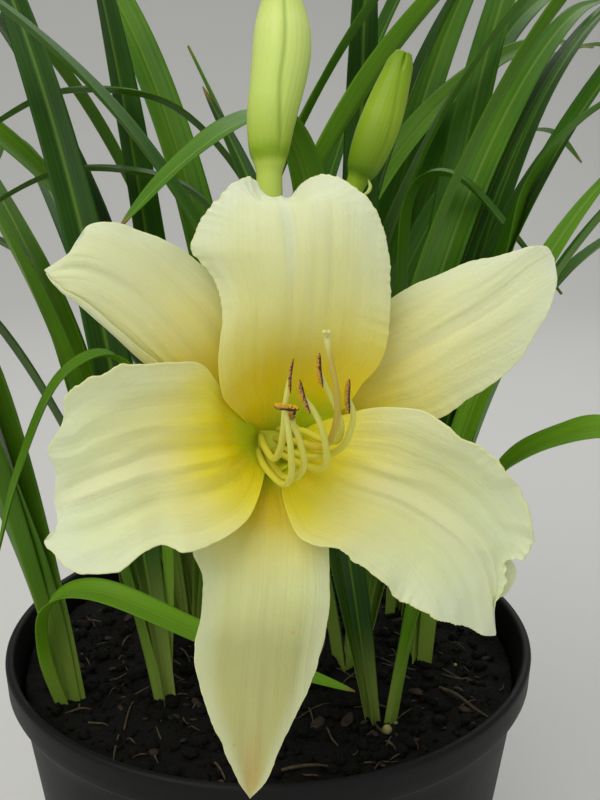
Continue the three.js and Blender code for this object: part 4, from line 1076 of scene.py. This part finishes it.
def freshFlesh(name, stops, rough, streaks=0.3):
    # smooth living tissue whose colour runs along the piece, a little see-through
    v = fleshValues
    material, tree, shader = newMaterial(name, {
        "Roughness": rough, "IOR": 1.4, "Specular IOR Level": 0.35, "Subsurface Weight": 0.45,
        "Subsurface Radius": (0.9, 1.0, 0.3), "Subsurface Scale": 0.003})
    read = {key: addNode(tree, "Attribute", {"attribute_name": key}) for key in ("along", "turn", "seam")}
    lines = addNode(tree, "CombineXYZ", None, {"X": read["turn"], "Y": read["along"]})
    ribsAcross = addNode(tree, "TexNoise", {"Scale": v["ribs"], "Detail": 3.0, "Roughness": 0.6},
                         {"Vector": lines})
    clouds = addNode(tree, "TexNoise", {"Scale": scaleOf(v["cloud"]), "Detail": 3.0},
                     {"Vector": addNode(tree, "NewGeometry")})
    shade = addedUp(tree, -0.8 * streaks, (read["along"], 1), (clouds, 0.6 * streaks), (ribsAcross, streaks))
    ramp = addNode(tree, "ValToRGB", {"stops": stops}, {"Fac": shade})
    inSeam = addNode(tree, "Math", {"operation": "MULTIPLY", 1: v["seamShare"]}, {0: read["seam"]})
    bump = addNode(tree, "Bump", {"Strength": 0.1 + streaks, "Distance": 0.0003}, {"Height": ribsAcross})
    linkTo(shader, {"Base Color": tinted(tree, ramp, (v["seam"], inSeam)), "Normal": bump})
    return material


def tubePart(points, radii, sides, steps, shape=None, seam=None):
    rings = ringsAlong(points, radii, sides, steps, shape)
    at, turn = np.linspace(0, 1, steps)[:, None], np.linspace(-1, 1, sides, endpoint=False)[None, :]
    line = seam((turn + 1) * math.pi, at) if seam else 0
    return ringPart(fromFlower(rings), {"along": at, "turn": np.abs(turn) * 2, "seam": line})


def makeTube():
    course = [[1.5, -0.5, -13], [0.8, -0.2, -21], [0, 0, -29], [-2, 1.6, -39], [-5, 4, -50]]
    mouth = [[1.5, -0.5, -13], [2, -1, -14.6], [2, -1, -15.8]]
    stops = [(0.0, "#c8d012"), (0.25, "#cfd63c"), (0.5, "#aebf52"), (1.0, "#8fa73a")]
    outer = ringsAlong(course, [10.5, 8.8, 6.8, 4.9, 4.1, 3.7, 3.4], 48, 50, ribs(6, 0.03))[::-1]
    inner = ringsAlong(mouth, [10.1, 8.5, 6, 2.0], 48, 30, ribs(6, 0.03))
    rings = np.concatenate([outer, inner])[:, ::-1]
    at = np.concatenate([np.linspace(1, 0, 50), np.linspace(0, 0.2, 30)])[:, None]
    turn = np.abs(np.linspace(-2, 2, 48, endpoint=False))[None, :]
    makeObject("floralTube", [ringPart(fromFlower(rings), {"along": at, "turn": turn})],
               freshFlesh("floralTubeFresh", stops, 0.45), "perianth")


makeTube()

stamenValues = {
    "rootRadius": 0.98, "tipRadius": 0.66, "antherRadius": 0.75, "halfLength": 4.5, "grains": 320,
    "brown": "#46280c", "tan": "#a07c42", "amber": "#cc900e", "pollen": "#cf9a12",
    "bright": "#efc222", "speck": 0.67, "rootRun": 6, "tipRun": 1.2, "standOff": 0.85,
    "grainSpread": 0.92, "grainSize": 0.07, "grainMore": 0.08,
}
stamens = [
    {"filament": [[-1.6, 2.7, -22], [0.5, -2, -6], [3.5, -5, 6], [5.5, -2, 16], [6.5, 3.5, 24], [7, 10, 28],
                  [8.3, 17.5, 30]],
     "lean": [0.08, 1, 0], "girth": 0.75},
    {"filament": [[-2.9, -1.1, -22], [0.5, -7.5, -4], [6, -12, 8], [8.5, -9, 18], [8.5, -2, 26],
                  [7.8, 4, 30], [7, 9.5, 32]],
     "lean": [-1, 0.14, 0], "pollen": 1.6, "length": 0.72, "girth": 1.15},
    {"filament": [[-1, -2.9, -22], [5, -9.5, 2], [9.5, -10, 12], [12, -6, 20], [11, 0, 24.5], [9.2, 5, 26],
                  [8.8, 7.6, 25]],
     "lean": [0.1, 0.3, 1], "length": 0.6, "girth": 1.45},
    {"filament": [[0.9, -3, -22], [11, -6.5, 4], [16.5, -7.5, 13], [18, -4.5, 20], [17, 2.5, 27],
                  [14.5, 8.5, 31], [11.6, 12.2, 33]],
     "lean": [-0.3, 1, 0], "girth": 1.05},
    {"filament": [[1.2, 2.9, -22], [11.5, 2.6, -2], [17, 0.3, 6], [21, 0.3, 13], [22, 4, 19], [20.5, 9, 24],
                  [15.8, 19, 29]],
     "lean": [-0.1, 1, 0], "pollen": 0.7, "girth": 1.05},
    {"filament": [[2.6, -1.7, -22], [11.5, -4.5, -1], [18, -4, 8], [22.5, -1.2, 15], [24.5, 3.5, 20],
                  [25, 8, 24], [23.2, 12.3, 26]],
     "lean": [0, 1, 0], "pollen": 0.4, "girth": 1.1},
]
stylePath = [[-0.5, 0, -23.5], [10, -0.7, -5], [16.8, -1.6, 11], [19.5, 2, 22], [20.6, 8.5, 30],
             [20, 15, 35], [18.5, 22, 38], [17.5, 28, 40]]


def ripeDust(name, stops, swing):
    # dry ripened sacs and loose powdery pollen: dull and speckled, a sac amber along its split
    return mottled(name, {"Roughness": 0.8}, stamenValues["speck"], stops, (0.6, 0.2),
                   (-0.7 * swing, 1, swing), "turn")


def makeStamens():
    v = stamenValues
    sac = ripeDust("antherRipeDry", [(0.22, v["amber"]), (0.42, v["amber"]), (0.47, v["tan"]),
                                     (0.6, v["tan"]), (0.72, v["brown"])], 0.42)
    powder = ripeDust("pollenPowder", [(0.3, v["pollen"]), (0.6, v["bright"])], 0.0)
    lobes = (lambda turn, along: 1 - 0.3 * np.maximum(0, np.cos(2 * turn)) ** 4)
    thin = [v["rootRadius"]] * 4 + [v["rootRadius"] * 0.85, v["tipRadius"], v["tipRadius"] * 0.7]
    at = np.array([-1, -0.5, 0, 0.5, 1])[:, None]
    threads, grains = [], []
    for number, own in enumerate(stamens, 1):
        stamen = {"pollen": 0.1, "length": 1, **own}
        lean = unit(np.array(stamen["lean"], float))
        endOn, level = lean[2] > 0.5, abs(lean[0]) > 0.5
        length, girth = v["halfLength"] * stamen["length"], v["antherRadius"] * stamen["girth"]
        x, y, z = stamen["filament"][-1]
        centre = np.array([x, y, z + v["tipRun"] + (length if endOn else v["standOff"])])
        rootX, rootY, rootZ = stamen["filament"][0]
        root, tip = [rootX * 0.9, rootY * 0.9, rootZ - v["rootRun"]], [x, y, z + v["tipRun"]]
        thread = [root] + stamen["filament"] + [tip]
        threads.append(tubePart(thread, thin, 14, 60))
        bend = np.array([0.2, 0.1, 0] if endOn else [0.5, 0, 0.4])
        line = centre + lean * length * at + bend * at ** 2
        width = np.array([0.25, 0.72, 0.95, 1.0, 1.0, 1.05, 1.0, 0.8, 0.3]) * girth
        part = tubePart(line, width, 32, 40, lobes)
        if level:
            part[2]["turn"] = 2 - part[2]["turn"]  # a level anther splits along its top
        makeObject(f"anther{number}", [part], sac, f"anther_{number}")
        across = unit(np.cross(lean, [0.3, 0.2, 1]))
        other = np.cross(lean, across)
        first, swing = (-1.9, 2.1) if level else (-3.4, 1.5)  # the side that the pollen sits on
        for i in range(int(v["grains"] * stamen["pollen"])):
            along = v["grainSpread"] * 2 * dice.random() - v["grainSpread"]
            turn = first + swing * dice.random()
            rim = girth * (0.9 + 0.15 * dice.random()) * (1 - 0.4 * abs(along) ** 6)
            spot = centre + lean * length * along + rim * (across * math.cos(turn) + other * math.sin(turn))
            ball = roundLump(3, 6) * (v["grainSize"] + v["grainMore"] * dice.random())
            grains.append(ringPart(fromFlower(ball + spot + bend * along ** 2), {"along": 0.5}))
    stops = [(0.0, "#c6c024"), (0.3, "#d4cb44"), (0.6, "#dcd962"), (1.0, "#e2e388")]
    makeObject("filamentThreads", threads, freshFlesh("filamentFresh", stops, 0.4), "filaments")
    makeObject("pollenGrains", grains, powder)


def makePistil():
    stops = [(0.0, "#d2c22e"), (0.3, "#d4bd4a"), (0.5, "#c8b048"), (0.86, "#c8b250"), (1.0, "#e2e08a")]
    parts = [tubePart(stylePath, [1.05, 1.0, 0.98, 0.92, 0.85, 0.8, 0.95], 18, 80)]
    for turn in (0.5, 2.6, 4.7):  # three small lobes of the stigma
        spot = np.array(stylePath[-1]) + [0.65 * math.cos(turn), 0.65 * math.sin(turn), 0.4]
        lobe = fromFlower(roundLump(7, 12) * [0.6, 0.6, 0.5] + spot)
        parts.append(ringPart(lobe, {"along": 1.0, "turn": 0.3, "seam": 0.0}))
    makeObject("styleAndStigma", parts, freshFlesh("styleFresh", stops, 0.4), "pistil")


makeStamens()
makePistil()
print("stamens and pistil made")

bigBud = {
    "points": [[2.5, 70, -43], [1.4, 76, -42.6], [1, 82, -42.2], [1, 88, -42], [0.9, 94, -42],
               [1.3, 100, -41.8], [2.2, 106, -41.5], [3.3, 112, -41.2], [4.3, 118, -41],
               [5, 124, -40.8], [5.2, 130, -40.6], [5.1, 136, -40.4], [5, 142, -40.2], [5, 148, -40]],
    "radii": [3, 3.4, 3.85, 4.15, 4.2, 4.3, 5.2, 6.3, 6.9, 7.35, 7.7, 8.05, 8.3, 8.55, 8.8, 9.05, 9.25, 9.4,
              9.5, 9.4, 9.15, 8.65, 7.9, 6.9, 5.6, 3.9, 0.7],
    "seam": (0.12, 0.5, 0.6, 0.35), "cleft": 0.0,
    "stops": [(0.0, "#c9de68"), (0.225, "#c2d65c"), (0.25, "#96b428"), (0.275, "#92b226"), (0.32, "#b2ca4c"),
              (0.5, "#d2e678"), (0.8, "#deee8c"), (1.0, "#c4d860")],
}
smallBud = {
    "points": [[26, 74.5, -44], [32.6, 90, -42.5], [38.8, 106.7, -41], [44.3, 123.1, -40]],
    "radii": [2.8, 3, 3.1, 3.6, 5.1, 5.8, 6.3, 6.6, 6.75, 6.7, 6.5, 6.15, 5.75, 5.25, 4.75, 4.2, 2.7],
    "seam": (0.2, 0.5, 0.95, 0.6), "cleft": 0.35,
    "stops": [(0.0, "#8fae2a"), (0.17, "#86a51c"), (0.22, "#54780a"), (0.3, "#6e8f0a"), (0.6, "#95b228"),
              (0.85, "#88a918"), (1.0, "#72960e")],
}
budValues = {"grooveDepth": 0.045, "grooveWidth": 0.13, "cleftStart": 0.84, "cleftRun": 0.16,
             "seamStart": 0.22, "ribs": 29, "ribDepth": 0.004}


def fromSeam(bud, turn, along):
    # the angle to the nearest of the bud's three seams, which lean a little round it
    first, swing, start, span = bud["seam"]
    line = first - math.pi / 2 + swing * smoothStep((start - along) / span)
    third = 2 * math.pi / 3
    return (turn - line + third / 2) % third - third / 2


def budForm(bud, turn, along):
    # shallow seams that part in a small cleft at the tip, and faint length ribs
    v = budValues
    depth = v["grooveDepth"] + bud["cleft"] * smoothStep((along - v["cleftStart"]) / v["cleftRun"])
    groove = np.exp(-(fromSeam(bud, turn, along) / v["grooveWidth"]) ** 2)
    above = smoothStep((along - v["seamStart"]) / 0.1)
    return 1 - depth * groove * above + v["ribDepth"] * np.cos(v["ribs"] * turn) * above


for budName, values, slotName, node in (("budLarge", bigBud, "bud_pale", "bud_large"),
                                        ("budSmall", smallBud, "bud_green", "bud_small")):
    budSkin = freshFlesh(budName + "SkinFresh", values["stops"], 0.38, 0.03)
    body = tubePart(values["points"], values["radii"], 144, 110,
                    lambda turn, along: budForm(values, turn, along),
                    lambda turn, along: (np.exp(-(fromSeam(values, turn, along) / 0.1) ** 2)
                                         * smoothStep((along - 0.25) / 0.1)))
    makeObject(budName, [body], budSkin, node)
print("buds made")
